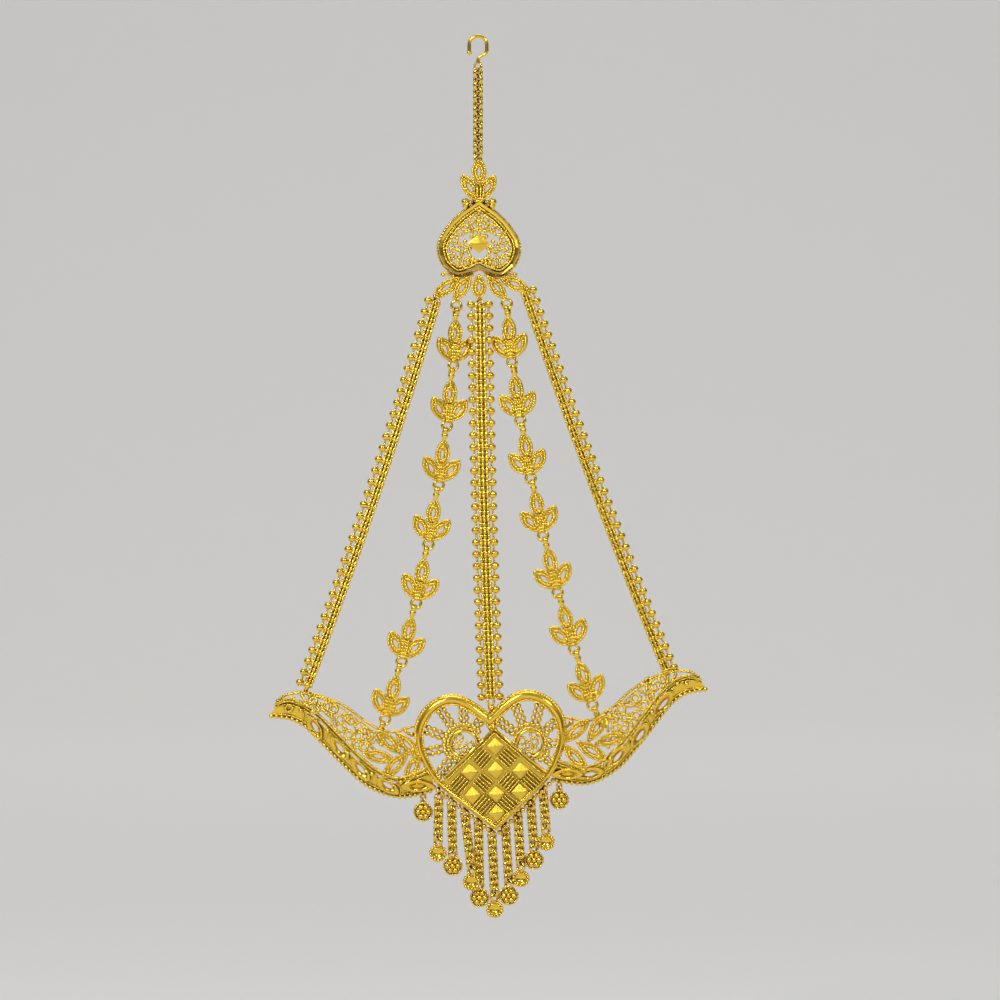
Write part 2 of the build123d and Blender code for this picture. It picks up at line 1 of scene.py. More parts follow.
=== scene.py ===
"""Gold maang tikka: beaded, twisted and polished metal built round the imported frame.

Shapes are drawn in millimetres. Flat work is drawn as (x, z), with its height towards the front, at -Y.
"""
from collections import namedtuple
from math import atan2, cos, degrees, hypot, pi, radians, sin

import bmesh
import bpy
import numpy as np
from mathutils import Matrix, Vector


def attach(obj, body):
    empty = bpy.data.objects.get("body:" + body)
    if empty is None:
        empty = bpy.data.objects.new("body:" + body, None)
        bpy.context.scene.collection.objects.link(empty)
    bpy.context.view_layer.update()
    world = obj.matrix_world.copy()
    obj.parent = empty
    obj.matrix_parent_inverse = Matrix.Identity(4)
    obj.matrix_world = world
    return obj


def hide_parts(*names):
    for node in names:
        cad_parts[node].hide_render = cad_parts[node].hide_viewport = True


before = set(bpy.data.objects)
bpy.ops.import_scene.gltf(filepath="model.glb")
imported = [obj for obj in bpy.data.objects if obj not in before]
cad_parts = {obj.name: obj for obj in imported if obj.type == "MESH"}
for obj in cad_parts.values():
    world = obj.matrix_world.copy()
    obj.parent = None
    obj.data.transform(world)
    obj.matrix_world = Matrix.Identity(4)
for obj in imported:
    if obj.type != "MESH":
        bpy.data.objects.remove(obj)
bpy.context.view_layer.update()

MM = 0.001

# ---- view: a level camera far in front, so that the frame is 250 mm across
VIEW_WIDTH = 0.25
VIEW_X = 0.0055
VIEW_Z = -0.1155
VIEW_DISTANCE = 1.6
SENSOR = 36.0


def make_camera():
    """The main camera."""
    data = bpy.data.cameras.new("camera")
    data.sensor_width = SENSOR
    data.lens = SENSOR * VIEW_DISTANCE / VIEW_WIDTH
    data.clip_end = 20
    camera = bpy.data.objects.new("camera", data)
    camera.location = (VIEW_X, -VIEW_DISTANCE, VIEW_Z)
    camera.rotation_euler = (radians(90), 0, 0)
    bpy.context.scene.collection.objects.link(camera)
    bpy.context.scene.camera = camera
    bpy.context.scene.view_settings.view_transform = "Standard"


make_camera()


# ======== mesh tools
def grid_quads(rows, cols, wrap_rows=False, wrap_cols=True):
    """Quads of a grid of rows by cols points."""
    i = np.arange(rows if wrap_rows else rows - 1)
    j = np.arange(cols if wrap_cols else cols - 1)
    i, j = np.meshgrid(i, j, indexing="ij")
    i2, j2 = (i + 1) % rows, (j + 1) % cols
    return np.stack([i * cols + j, i * cols + j2, i2 * cols + j2, i2 * cols + j], -1).reshape(-1, 4)


def span(start, end):
    """Distance between two flat points."""
    return hypot(end[0] - start[0], end[1] - start[1])


def heading(angle):
    """The flat direction at an angle in degrees."""
    return np.array([cos(radians(angle)), sin(radians(angle))])


def spin(angle, i=0, j=1):
    """The matrix that turns rows of points by degrees, from one axis towards another."""
    c, s = heading(angle)
    matrix = np.eye(3)
    matrix[[i, i, j, j], [i, j, i, j]] = c, s, -s, c
    return matrix


def unit(vectors):
    """Rows scaled to a length of one."""
    return vectors / (np.linalg.norm(vectors, axis=1)[:, None] + 1e-12)


class Shape:
    """Points and faces of one piece, in millimetres."""

    def __init__(self):
        self.points, self.faces, self.looks, self.count = [], [], [], 0

    def add(self, points, faces, look=0):
        """Adds faces with one of the looks."""
        self.points.append(np.asarray(points, float))
        self.faces += [[int(k) + self.count for k in face] for face in faces]
        self.looks += [look] * len(faces)
        self.count += len(points)

    def merge(self, other, place):
        """Adds another shape through a function that moves points."""
        self.points.append(place(np.concatenate(other.points)))
        self.faces += [[k + self.count for k in face] for face in other.faces]
        self.looks += other.looks
        self.count += other.count

    def loft(self, rows, look):
        """Adds a closed band between rows of points, from each row to the next and round to the first."""
        self.add(np.concatenate(rows), grid_quads(len(rows), len(rows[0]), wrap_rows=True), look)

    def slab(self, outline, low, high, look):
        """Adds a flat plate between two heights."""
        count = len(outline)
        faces = [*grid_quads(2, count), range(count)[::-1], range(count, 2 * count)]
        self.add(np.concatenate([flat(outline, low), flat(outline, high)]), faces, look)


def wrap_faces(rows, cols, closed):
    """Faces of a tube of rows rings, capped at both ends if it is open."""
    quads = [*grid_quads(rows, cols, wrap_rows=closed)]
    return quads if closed else [*quads, range(cols)[::-1], range((rows - 1) * cols, rows * cols)]


def resample(path, step, closed=False):
    """Points at an even spacing near step along a path."""
    path = np.asarray(path, float)
    if closed:
        path = np.vstack([path, path[:1]])
    length = np.concatenate([[0], np.cumsum(np.linalg.norm(np.diff(path, axis=0), axis=1))])
    count = max(int(round(length[-1] / step)), 3 if closed else 1)
    at = np.linspace(0, length[-1], count + 1)
    out = np.stack([np.interp(at, length, path[:, k]) for k in range(3)], 1)
    return out[:-1] if closed else out


def smooth(points, steps):
    """A Catmull-Rom curve through points."""
    p = np.asarray(points, float)
    p = np.vstack([2 * p[0] - p[1], p, 2 * p[-1] - p[-2]])
    t = np.linspace(0, 1, steps, endpoint=False)[:, None]
    out = []
    for a, b, c, d in zip(p, p[1:], p[2:], p[3:]):
        out.append(b + 0.5 * t * (c - a + t * (2 * a - 5 * b + 4 * c - d + t * (3 * b - a - 3 * c + d))))
    return np.vstack([*out, p[-2]])


def frames(path, closed):
    """Two unit normals at each point of a path, the first as near the front as it can be."""
    ahead = np.roll(path, -1, 0) - np.roll(path, 1, 0)
    if not closed:
        ahead[0], ahead[-1] = path[1] - path[0], path[-1] - path[-2]
    ahead = unit(ahead)
    front = np.where(np.abs(ahead[:, 1:2]) > 0.97, [1, 0, 0], [0, -1, 0])
    side = unit(np.cross(ahead, front))
    return np.cross(side, ahead), side


def add_rings(shape, path, up, side, radius, closed, look):
    """Rings round a path, joined into a wire. radius has a row for each ring and a column for each side."""
    rows, sides = radius.shape
    angle = np.arange(sides)[None, :, None] * 2 * pi / sides
    ring = up[:, None] * np.cos(angle) + side[:, None] * np.sin(angle)
    points = path[:, None] + radius[..., None] * ring
    shape.add(points.reshape(-1, 3), wrap_faces(rows, sides, closed), look)


def tube(shape, path, radius, sides=8, closed=False, look=0, squash=1):
    """A wire along a path. radius is one number or one for each point; squash flattens it front to back."""
    path = np.asarray(path, float)
    up, side = frames(path, closed)
    radius = np.tile(np.broadcast_to(radius, len(path))[:, None], sides)
    add_rings(shape, path, up * squash, side, radius, closed, look)


# a bead's radius at even steps along it
BEAD_SWELL = np.array([0.55, 0.88, 1, 0.88])
TWIST_STEPS, TWIST_SIDES = 6, 10


def beaded(shape, path, radius, pitch, closed=False):
    """A wire drawn into a row of beads."""
    steps = len(BEAD_SWELL)
    points = resample(path, pitch / steps, closed)
    tube(shape, points, radius * BEAD_SWELL[np.arange(len(points)) % steps], 6, closed)


def twisted(shape, path, radius, pitch, closed=False):
    """Two wires twisted together."""
    points = resample(path, pitch / TWIST_STEPS, closed)
    up, side = frames(points, closed)
    count = len(points)
    turns = max(round(count / TWIST_STEPS), 1) / count if closed else 1 / TWIST_STEPS
    turn = np.arange(count) * 2 * pi * turns
    angle = np.arange(TWIST_SIDES) * 2 * pi / TWIST_SIDES
    swell = 0.82 + 0.18 * np.cos(2 * angle[None, :] - turn[:, None])
    add_rings(shape, points, up, side, radius * swell, closed, BRIGHT)


def lathe(shape, centre, axis, profile, sides=14, look=0):
    """A solid of revolution: profile is (distance along the axis, radius) from one end to the other."""
    axis = np.asarray(axis, float)
    along, radius = np.array(profile, float).T
    up = np.cross(axis, [0, 0, 1] if abs(axis[2]) < 0.9 else [1, 0, 0])
    side = np.cross(axis, up)
    path = np.asarray(centre, float) + along[:, None] * axis
    add_rings(shape, path, up[None], side[None], np.tile(radius[:, None], sides), False, look)


def ball(shape, centre, radius, sides=12, rings=8):
    """A ball."""
    turns = np.linspace(0.08, pi - 0.08, rings)
    lathe(shape, centre, (0, -1, 0), [(-cos(a) * radius, sin(a) * radius) for a in turns], sides)


def link(shape, centre, radius, wire, wide, turn, steps=20, sides=8):
    """A ring of oval section in a plane that holds Z, turned about Z from the front plane.

    wire is half its depth across the ring, and wide is half its depth along the ring's axis.
    """
    a, b = np.meshgrid(np.arange(steps) * 2 * pi / steps, np.arange(sides) * 2 * pi / sides, indexing="ij")
    r = radius + wire * np.cos(b)
    points = np.stack([r * np.cos(a), wide * np.sin(b), r * np.sin(a)], -1).reshape(-1, 3)
    shape.add(points @ spin(turn) + centre, wrap_faces(steps, sides, True))


def hoop(shape, centre, radius, wire, turn, steps=20, sides=8):
    """A ring of round wire in a plane that holds Z, turned about Z from the front plane."""
    tube(shape, flat(circle(0, 0, radius, steps)) @ spin(turn) + centre, wire, sides, True)


def flat(points, height=0):
    """Flat points, or one height each, as points in space."""
    p = np.asarray(points, float)
    h = np.broadcast_to(height, len(p))
    return np.stack([p[:, 0], -h, p[:, 1]], 1)


def circle(x, z, radius, steps, start=0, sweep=360):
    """Flat points of a circle or of an arc."""
    closed = abs(sweep) >= 360
    a = radians(start) + np.linspace(0, radians(sweep), steps, endpoint=not closed)
    return np.stack([x + radius * np.cos(a), z + radius * np.sin(a)], 1)


def spiral(x, z, radius, turns, start, inner):
    """Flat points of a scroll that winds in to its middle, where inner is its share of the radius."""
    t = np.linspace(0, 1, 26)
    r = radius * (1 - (1 - inner) * t)
    a = radians(start) + t * turns * 2 * pi
    return np.stack([x + r * np.cos(a), z + r * np.sin(a)], 1)


# ======== finishes
def add_node(tree, kind, inputs, **settings):
    """Adds a shader node and gives its outputs. Each input is a number or the output of another node."""
    node = tree.nodes.new("ShaderNode" + kind)
    for key, value in settings.items():
        setattr(node, key, value)
    set_inputs(tree, node, inputs)
    return node.outputs


def set_inputs(tree, node, inputs):
    """Sets the inputs of a node, or joins them to outputs."""
    for key, value in inputs.items():
        if isinstance(value, bpy.types.NodeSocket):
            tree.links.new(value, node.inputs[key])
        else:
            node.inputs[key].default_value = value


def add_ramp(tree, factor, stops):
    """Adds a colour ramp through stops of (position, colour), ends first."""
    node = tree.nodes.new("ShaderNodeValToRGB")
    elements = node.color_ramp.elements
    for k, (position, colour) in enumerate(stops):
        stop = elements[k] if k < 2 else elements.new(position)
        stop.position = position
        stop.color = (*colour, 1)
    tree.links.new(factor, node.inputs["Fac"])
    return node.outputs["Color"]


# the gold's own colour, the colour of the painted shade in its hollows, how far that painted shade reaches,
# and how uneven the tone is at random
LIGHT_GOLD = (0.93, 0.63, 0.06)
SHADE_GOLD = (0.09, 0.04, 0.002)
SHADE_REACH = 1.0 * MM
UNEVEN = 0.22


def gold(name, rough, grain, relief):
    """Gold with a fine grain, and painted shade that makes it darker and warmer where it is hollow."""
    mat = bpy.data.materials.new(name)
    mat.use_nodes = True
    tree = mat.node_tree
    where = add_node(tree, "TexCoord", {})["Object"]
    fine = add_node(tree, "TexNoise", {"Scale": grain, "Detail": 4, "Vector": where})["Fac"]
    broad = add_node(tree, "TexNoise", {"Scale": 260, "Vector": where})["Fac"]
    # painted shade: ambient occlusion darkens the colour in hollows and between beads, with a random uneven
    # tone added
    hollow = add_node(tree, "AmbientOcclusion", {"Distance": SHADE_REACH}, samples=6)["AO"]
    lower = add_node(tree, "Math", {0: hollow, 1: UNEVEN / 2}, operation="SUBTRACT")[0]
    shade_and_tone = add_node(tree, "Math", {0: broad, 1: UNEVEN, 2: lower}, operation="MULTIPLY_ADD")[0]
    spread = {"To Min": rough * 0.7, "To Max": rough * 1.35, "Value": fine}
    bump = {"Strength": relief, "Distance": 0.05 * MM, "Height": fine}
    set_inputs(tree, tree.nodes["Principled BSDF"], {
        "Metallic": 1, "Coat Weight": 0.5, "Coat Roughness": 0.12,
        "Base Color": add_ramp(tree, shade_and_tone, [(0.2, SHADE_GOLD), (0.68, LIGHT_GOLD)]),
        "Roughness": add_node(tree, "MapRange", spread)["Result"],
        "Normal": add_node(tree, "Bump", bump)["Normal"],
    })
    return mat


# both finishes carry the painted shade in their hollows
POLISHED = gold("gold_polished", 0.16, 2600, 0.25)
GRAINED = gold("gold_grained", 0.3, 5200, 0.8)
# looks of faces: polished, grained, and the same two with flat facets
BRIGHT, GRAIN, FACET, CUT = 0, 1, 2, 3


def make_piece(name, shape, node, place=None):
    """The object for a shape, in metres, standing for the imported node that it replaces."""
    points = np.concatenate(shape.points)
    if place is not None:
        points = place(points)
    mesh = bpy.data.meshes.new(name)
    mesh.from_pydata((points * MM).tolist(), [], shape.faces)
    for finish in (POLISHED, GRAINED, POLISHED, GRAINED):
        mesh.materials.append(finish)
    mesh.polygons.foreach_set("material_index", shape.looks)
    mesh.polygons.foreach_set("use_smooth", [look not in (FACET, CUT) for look in shape.looks])
    mesh.update()
    outward = bmesh.new()
    outward.from_mesh(mesh)
    bmesh.ops.recalc_face_normals(outward, faces=outward.faces)
    outward.to_mesh(mesh)
    outward.free()
    piece = bpy.data.objects.new(name, mesh)
    bpy.context.scene.collection.objects.link(piece)
    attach(piece, "root")
    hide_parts(node)


# ======== leaves
# across a leaf from its outer edge to its slot: share of the way, height over its middle plane
LEAF_SECTION = [
    (0, -0.5), (0, 0.1), (0.08, 0.24), (0.28, 0.28), (0.42, 0.4), (0.56, 0.28), (0.9, 0.2), (1, 0),
    (1, -0.5)
]
# rows of beads on a leaf: share of the way in, radius and pitch
LEAF_ROWS = [(0.18, 0.34, 0.62), (0.66, 0.44, 0.84)]
# the slot's length, width and middle as shares of the leaf's
SLOT_LENGTH, SLOT_WIDTH, SLOT_MIDDLE = 0.31, 0.22, 0.52


def leaf_curve(length, width, steps=44, blunt=0.64, belly=1.1):
    """A pointed oval from the origin up the z axis, widest a little past its middle."""
    v = np.linspace(0, 1, steps // 2, endpoint=False)
    half = width / 2 * np.sin(pi * v ** belly) ** blunt
    right = np.stack([half, v * length], 1)
    left = np.stack([-half[1:], v[1:] * length], 1)[::-1]
    return np.vstack([right, [[0, length]], left])


def turned(points, base, tip):
    """Flat points drawn up the z axis, moved to run from base towards tip."""
    c, s = np.subtract(tip, base) / span(base, tip)
    return np.asarray(points) @ [[s, -c], [c, s]] + base


def leaf(shape, base, tip, width, height, lift=0):
    """A leaf with a beaded border and a row of beads round its slot. lift raises its tip over its base."""
    length = span(base, tip)
    outer = leaf_curve(length, width)
    inner = leaf_curve(length * SLOT_LENGTH, width * SLOT_WIDTH, blunt=0.5, belly=1)
    inner[:, 1] += length * (SLOT_MIDDLE - SLOT_LENGTH / 2)

    def at(share, up):
        p = outer + share * (inner - outer)
        return flat(turned(p, base, tip), height + up + lift * p[:, 1] / length)

    shape.loft([at(share, up) for share, up in LEAF_SECTION], GRAIN)
    for share, radius, pitch in LEAF_ROWS:
        beaded(shape, at(share, 0.26), radius, pitch, True)
    middle = at(0.45, 0.3)
    for end in (0, len(middle) // 2):
        ball(shape, middle[end], 0.38, 8, 6)


def stem_plate(shape, levels, widths, height):
    """A flattened bar behind the stems of three leaves."""
    tube(shape, flat([(0, z) for z in levels], height), widths, 10, squash=0.4, look=GRAIN)


BAIL_DROP = [(0, 0.5), (0.25, 0.8), (0.7, 0.85), (1.3, 0.6), (2, 0.44), (2.7, 0.42), (3.3, 0.6), (3.9, 0.8)]


def leaf_bail(shape):
    """A loop across the front plane at the origin's eye, drawn out to a stem."""
    link(shape, (0, 0, -1.23), 0.85, 0.27, 0.62, 90)
    lathe(shape, (0, 0.1, -1.75), (0, 0, -1), BAIL_DROP)


def leaf_link(pitch):
    """Three leaves with a bail above and an eye below, from the eye that it hangs from."""
    shape = Shape()
    foot = 1.0 - pitch
    leaf(shape, (0, foot + 3), (0, foot + 10.6), 3.6, 0.1)
    for side in (1, -1):
        leaf(shape, (side * 0.3, foot), (side * 4.45, foot + 6), 3.8, 0.2, 0.15)
    stem_plate(shape, (foot + 0.1, foot + 2.4, foot + 4.8), [0.7, 1.1, 0.6], 0.1)
    for x in (-0.66, 0, 0.66):
        beaded(shape, flat([(x * 0.4, foot - 0.1), (x, foot + 2.2), (x * 0.7, foot + 4.6)], 0.6), 0.38, 0.8)
    leaf_bail(shape)
    link(shape, (0, 0, -pitch), 1.2, 0.38, 0.42, 0, 28, 10)
    return shape


# ---- how the chains hang: first point, last point, bow towards the middle, units
LEAF_COUNT = 7
Run = namedtuple("Run", "x0 z0 x1 z1 bow count")
RUNS = {
    "band_left": Run(-10.5, -66.2, -43, -163, 1, 33),
    "band_right": Run(11.8, -63.6, 47.3, -158.6, -0.9, 33),
    "band_centre": Run(0.5, -66.6, 3.2, -165.6, -0.35, 33),
    "leaves_left": Run(-5.4, -67, -23.5, -170.5, 3.2, LEAF_COUNT),
    "leaves_right": Run(7.2, -66.5, 28.9, -166.8, -3.2, LEAF_COUNT),
}
# how far the highest leaves turn about their own chain, and how much less each one below
FIRST_TURN = 24.0
TURN_LOSS = 8.0
UNIT_PITCH = 2.975
UNIT_RING_R = 1.11
BEAD_OUT_CENTRE = 2.35
BEAD_OUT_SIDE = 2.1


def pitch_of(run):
    """Distance from one unit to the next along a run."""
    return span(run[:2], run[2:4]) / run.count


def hang(run, distance, turn=0):
    """A function that moves points to a place on a run, turned to hang along it."""
    start, end = np.array(run[:2]), np.array(run[2:4])
    chord = span(start, end)
    t = distance / chord
    ahead = (end - start) / chord
    across = np.array([-ahead[1], ahead[0]])
    x, z = start + distance * ahead + 4 * run.bow * t * (1 - t) * across
    dx, dz = ahead + 4 * run.bow * (1 - 2 * t) / chord * across
    matrix = spin(turn) @ spin(degrees(atan2(dx, -dz)), 0, 2)
    return lambda p: p @ matrix + [x, 0, z]


def build_leaf_chains():
    """Every leaf link, in place of its plain one."""
    for side, sign in (("left", 1), ("right", -1)):
        run = RUNS[f"leaves_{side}"]
        shape = leaf_link(pitch_of(run))
        for i in range(LEAF_COUNT):
            place = hang(run, i * pitch_of(run), max(FIRST_TURN - i * TURN_LOSS, 0) * sign)
            make_piece(f"leaves_{side}_{i + 1}", shape, f"leaf_link_{side}_{i + 1}", place)


# ======== beaded bands
# a ball and its neck: distance from the band's middle and radius
NECKED_BALL = [
    (0.4, 0.42), (0.85, 0.44), (1.15, 0.52), (1.4, 0.68), (1.65, 0.86), (1.95, 0.97), (2.25, 1),
    (2.6, 0.92), (2.9, 0.7), (3.1, 0.42), (3.17, 0.12)
]
NECKED_OUT = 2.2
# down a strand from one row to the next: share of the way and radius
STRAND = [
    (0, 0.5), (0.14, 0.46), (0.26, 0.32), (0.34, 0.28), (0.42, 0.4), (0.5, 0.46), (0.58, 0.4),
    (0.66, 0.28), (0.74, 0.32), (0.86, 0.46), (1, 0.5)
]
# across a row: share of the way and radius, with a knot at each strand
ROW_BAR = [
    (0, 0.42), (0.1, 0.5), (0.2, 0.62), (0.28, 0.58), (0.36, 0.3), (0.44, 0.58), (0.5, 0.64),
    (0.56, 0.58), (0.64, 0.3), (0.72, 0.58), (0.8, 0.62), (0.9, 0.5), (1, 0.42)
]


def necked_ball(shape, side, out, y=0, z=0):
    """A ball drawn out to a cone towards the middle of its band."""
    lathe(shape, (side * (out - NECKED_OUT), y, z), (side, 0, 0), NECKED_BALL, 18)


def strand(shape, x, front, swell, bow=0):
    """Links seen edge-on between one row and the next: a bar with a bead halfway."""
    path = [(x + bow * sin(pi * t), -front, -t * UNIT_PITCH) for t, r in STRAND]
    tube(shape, path, [r * swell for t, r in STRAND])


def ball_strand(shape, x, bow):
    """The wire from one ball to the next."""
    start, end = -0.75, 0.75 - UNIT_PITCH
    path = [(x + bow * sin(pi * t), 0, start + t * (end - start)) for t in np.linspace(0, 1, 6)]
    tube(shape, path, [0.4, 0.28, 0.22, 0.22, 0.28, 0.4])


def row_bar(shape, left, right, z=0):
    """The bar across a row."""
    lathe(shape, (left, -0.1, z), (1, 0, 0), [((right - left) * t, r) for t, r in ROW_BAR], 10)


def centre_unit():
    """One row of the centre band."""
    shape = Shape()
    row_bar(shape, -1.45, 1.45)
    for x, front, bow in ((-0.92, 0.32, -0.1), (0, 0.38, 0), (0.92, 0.32, 0.1)):
        strand(shape, x, front, 1, bow)
    for x in (-0.46, 0.46):
        strand(shape, x, -0.25, 1.2)
    for side in (1, -1):
        necked_ball(shape, side, BEAD_OUT_CENTRE)
        ball_strand(shape, side * 2.2, -side * 0.1)
    return shape


def side_unit(side):
    """One row of an outer band, which is seen half from its edge."""
    shape = Shape()
    row_bar(shape, -1.1, 1.1)
    for x, front, bow, swell in ((0.68, 0.32, 0.08, 0.95), (-0.08, 0.38, 0, 0.95), (-0.8, 0.3, -0.06, 0.85)):
        strand(shape, side * x, front, swell, side * bow)
    for x in (0.28, -0.46):
        strand(shape, side * x, -0.25, 1.1)
    ball(shape, (side * -0.9, -0.3, -UNIT_PITCH / 2), 0.32, 8, 6)
    necked_ball(shape, side, BEAD_OUT_SIDE, -0.2)
    ball_strand(shape, side * 2, -side * 0.1)
    return shape


def build_bands():
    """The three beaded bands."""
    for name, row in (("centre", centre_unit()), ("left", side_unit(-1)), ("right", side_unit(1))):
        run = RUNS[f"band_{name}"]
        band = Shape()
        for i in range(run.count):
            band.merge(row, hang(run, i * UNIT_PITCH))
        make_piece(f"beaded_band_{name}", band, f"band_{name}")


# ======== rims and scrolls
CORNER_LIMIT = 2.2


def inset(points, distance):
    """A closed flat outline, anticlockwise, moved inwards, with its corners kept sharp."""
    p = np.asarray(points, float)
    before, after = unit(p - np.roll(p, 1, 0)), unit(np.roll(p, -1, 0) - p)
    inwards = unit((before + after) @ [[0, 1], [-1, 0]])
    half = np.abs(before[:, 0] * inwards[:, 1] - before[:, 1] * inwards[:, 0])
    return p + inwards * (distance * np.minimum(1 / np.maximum(half, 0.01), CORNER_LIMIT))[:, None]


def rim(shape, outline, section, look, wide=1):
    """A closed rim with a section of (distance inwards, height). wide widens it, evenly or at each point."""
    shape.loft([flat(inset(outline, distance * wide), height) for distance, height in section], look)


def bead_rim(shape, outline, distance, height, radius, pitch):
    """A row of beads at a distance inside an outline."""
    beaded(shape, flat(inset(outline, distance), height), radius, pitch, True)


def outline_of(right, steps):
    """A closed outline from its right half, whose ends lie on the middle line and are sharp."""
    half = smooth(right, steps)
    return np.vstack([half, half[1:-1][::-1] * [-1, 1]])


def wire_curve(shape, points, wire, height):
    """A beaded wire through flat points."""
    beaded(shape, smooth(flat(points, height), 7), wire, wire * 1.9)


# up a stud's side: share of its half width, share of its rise
STUD_PROFILE = [(1, -0.5), (1, 0), (0.94, 0.16), (0.14, 1)]
STUD_CORNER = 0.08


def pyramid(shape, x, z, half, rise, height, tall=1):
    """A diamond-cut stud that stands corner up, with its corners and its tip cut off."""
    ring = [heading(a) + q * heading(a + 90) for a in range(0, 360, 90) for q in (-STUD_CORNER, STUD_CORNER)]
    ring = np.array(ring) / (1 + STUD_CORNER)
    rows = [flat(ring * [half * w, half * w * tall] + [x, z], height + rise * h) for w, h in STUD_PROFILE]
    faces = [*grid_quads(len(rows), len(ring)), range((len(rows) - 1) * len(ring), len(rows) * len(ring))]
    shape.add(np.concatenate(rows), faces, CUT)


# ======== crown motif
MOTIF_X = 0.25
SPADE_RIGHT = [
    (0, -57.7), (2, -58.6), (5.6, -59.4), (8.7, -57.1), (9.9, -54.6), (10.2, -52.4), (9.7, -50.3),
    (8.4, -48.1), (6.7, -45.9), (4.6, -43.9), (2.8, -42.6), (0, -40.6)
]
SPADE_SECTION = [(0, -0.6), (0, 0.7), (0.18, 1.35), (0.3, 1.45), (0.95, 1.2), (1.05, 0.9), (1.05, -0.6)]
SPADE_LEDGE = [(0.9, -0.5), (0.9, 0.75), (2.35, 0.6), (2.35, -0.5)]
# scrollwork of the right half
SPADE_RINGS = [
    (1.55, -45.5, 0.85), (3.45, -47.4, 0.75), (6.2, -50.6, 0.85), (4.15, -52.8, 0.8), (6.75, -54.5, 0.75),
    (0.9, -48.8, 0.85)
]
SPADE_WIRES = [
    [(0, -44.4), (0.15, -45.6), (0.3, -46.8), (0.35, -47.9)], [(2.4, -46), (2, -46.9), (1.5, -47.8)],
    [(1.9, -48), (2.9, -48.4), (4.3, -49.2), (5.9, -49.2)],
    [(4.1, -46.7), (4.9, -47.6), (6, -48.4), (7, -48.5)], [(1.8, -49.2), (1.9, -49.8), (1.6, -50.4)],
    [(5.3, -51.1), (4.9, -51.6), (4.6, -52)], [(7.1, -50.4), (7.6, -51.2), (7.9, -52.2)],
    [(3.4, -52.6), (2.6, -52.2), (2, -51.9)],
    [(5, -53), (5.8, -52.9), (6.4, -52.4), (7, -52.6), (7.1, -53.3)],
    [(4.3, -53.7), (4.5, -54.6), (5, -55.4)], [(5.9, -54.5), (5.3, -55.3), (5.1, -56.4), (5.6, -57.3)],
    [(7.4, -54.9), (7.2, -55.9), (6.3, -56.6)],
    [(1.9, -52.4), (2.6, -53.3), (2.4, -54.4), (1.4, -55.4), (0.2, -56.4)]
]
SPADE_FOOT = [(1.2, -59.1), (4.4, -59.9), (7.4, -59.2), (8.9, -58.6)]
SPADE_BALLS = [(3.5, -50.9, 0.6), (2.8, -56, 0.6), (4, -54.2, 0.4)]
SCROLL_WIRE, SCROLL_PITCH = 0.52, 0.84
Leaf = namedtuple("Leaf", "base tip width height")
CROWN_LEAVES = [
    Leaf((0, -37.2), (0, -30.1), 3.65, 0), Leaf((0.2, -41), (4, -34.2), 3.5, 0.1),
    Leaf((-0.2, -41), (-4.3, -34.1), 3.5, 0.1), Leaf((-4.6, -59.6), (-11.5, -65), 3.3, -0.1),
    Leaf((-2, -59.3), (-6.3, -65.6), 3.3, 0.15), Leaf((0, -59), (0, -65.4), 3.7, 0.25),
    Leaf((2, -59.3), (6.7, -65.3), 3.3, 0.15), Leaf((5, -59.7), (12.6, -63.2), 3.2, -0.1)
]


# a ball beside the foot of the leaves, and the stem from it down to the rim
SHOULDER_BALL = [(0, 0.4), (0.9, 0.42), (1.4, 0.7), (1.9, 0.98), (2.4, 1.05), (2.85, 0.85), (3.15, 0.45)]
SHOULDER_STEM = [(0, 0.8), (0.7, 0.85), (1.3, 0.62), (2, 0.5), (2.6, 0.55)]


def crown_half(shape, side):
    """Scrollwork, shoulder and lower edge of one half of the crown."""
    for x, z, radius in SPADE_RINGS:
        beaded(shape, flat(circle(side * x, z, radius, 24), 0.85), SCROLL_WIRE, SCROLL_PITCH, True)
    for points in SPADE_WIRES:
        wire_curve(shape, np.array(points) * [side, 1], SCROLL_WIRE, 0.8)
    path = spiral(3.1, -56.2, 1.6, 1.35, 115, 0.4) * [side, 1]
    beaded(shape, flat(path, 0.85), SCROLL_WIRE, SCROLL_PITCH)
    for x, z, radius in SPADE_BALLS:
        ball(shape, (side * x, -1.1, z), radius)
    lathe(shape, (side * 1.2, 0, -41), (side, 0, 0), SHOULDER_BALL)
    lathe(shape, (side * 3.3, 0, -41.2), (0, 0, -1), SHOULDER_STEM, 12)
    wire_curve(shape, np.array(SPADE_FOOT) * [side, 1], 0.42, -0.1)
    ball(shape, (side * 9, -0.1, -59.2), 0.6)


def crown_eyes(shape):
    """The eyes that the chains meet."""
    hoop(shape, (0, 0, -30.3), 1.14, 0.3, 45)
    for name in ("leaves_left", "leaves_right"):
        hoop(shape, (RUNS[name].x0, 0, RUNS[name].z0), 1.22, 0.37, 0, 28, 10)
    for name in ("band_left", "band_right", "band_centre"):
        eye = Shape()
        hoop(eye, (0, 0, 0), UNIT_RING_R, 0.29, -45)
        shape.merge(eye, hang(RUNS[name], -0.085))


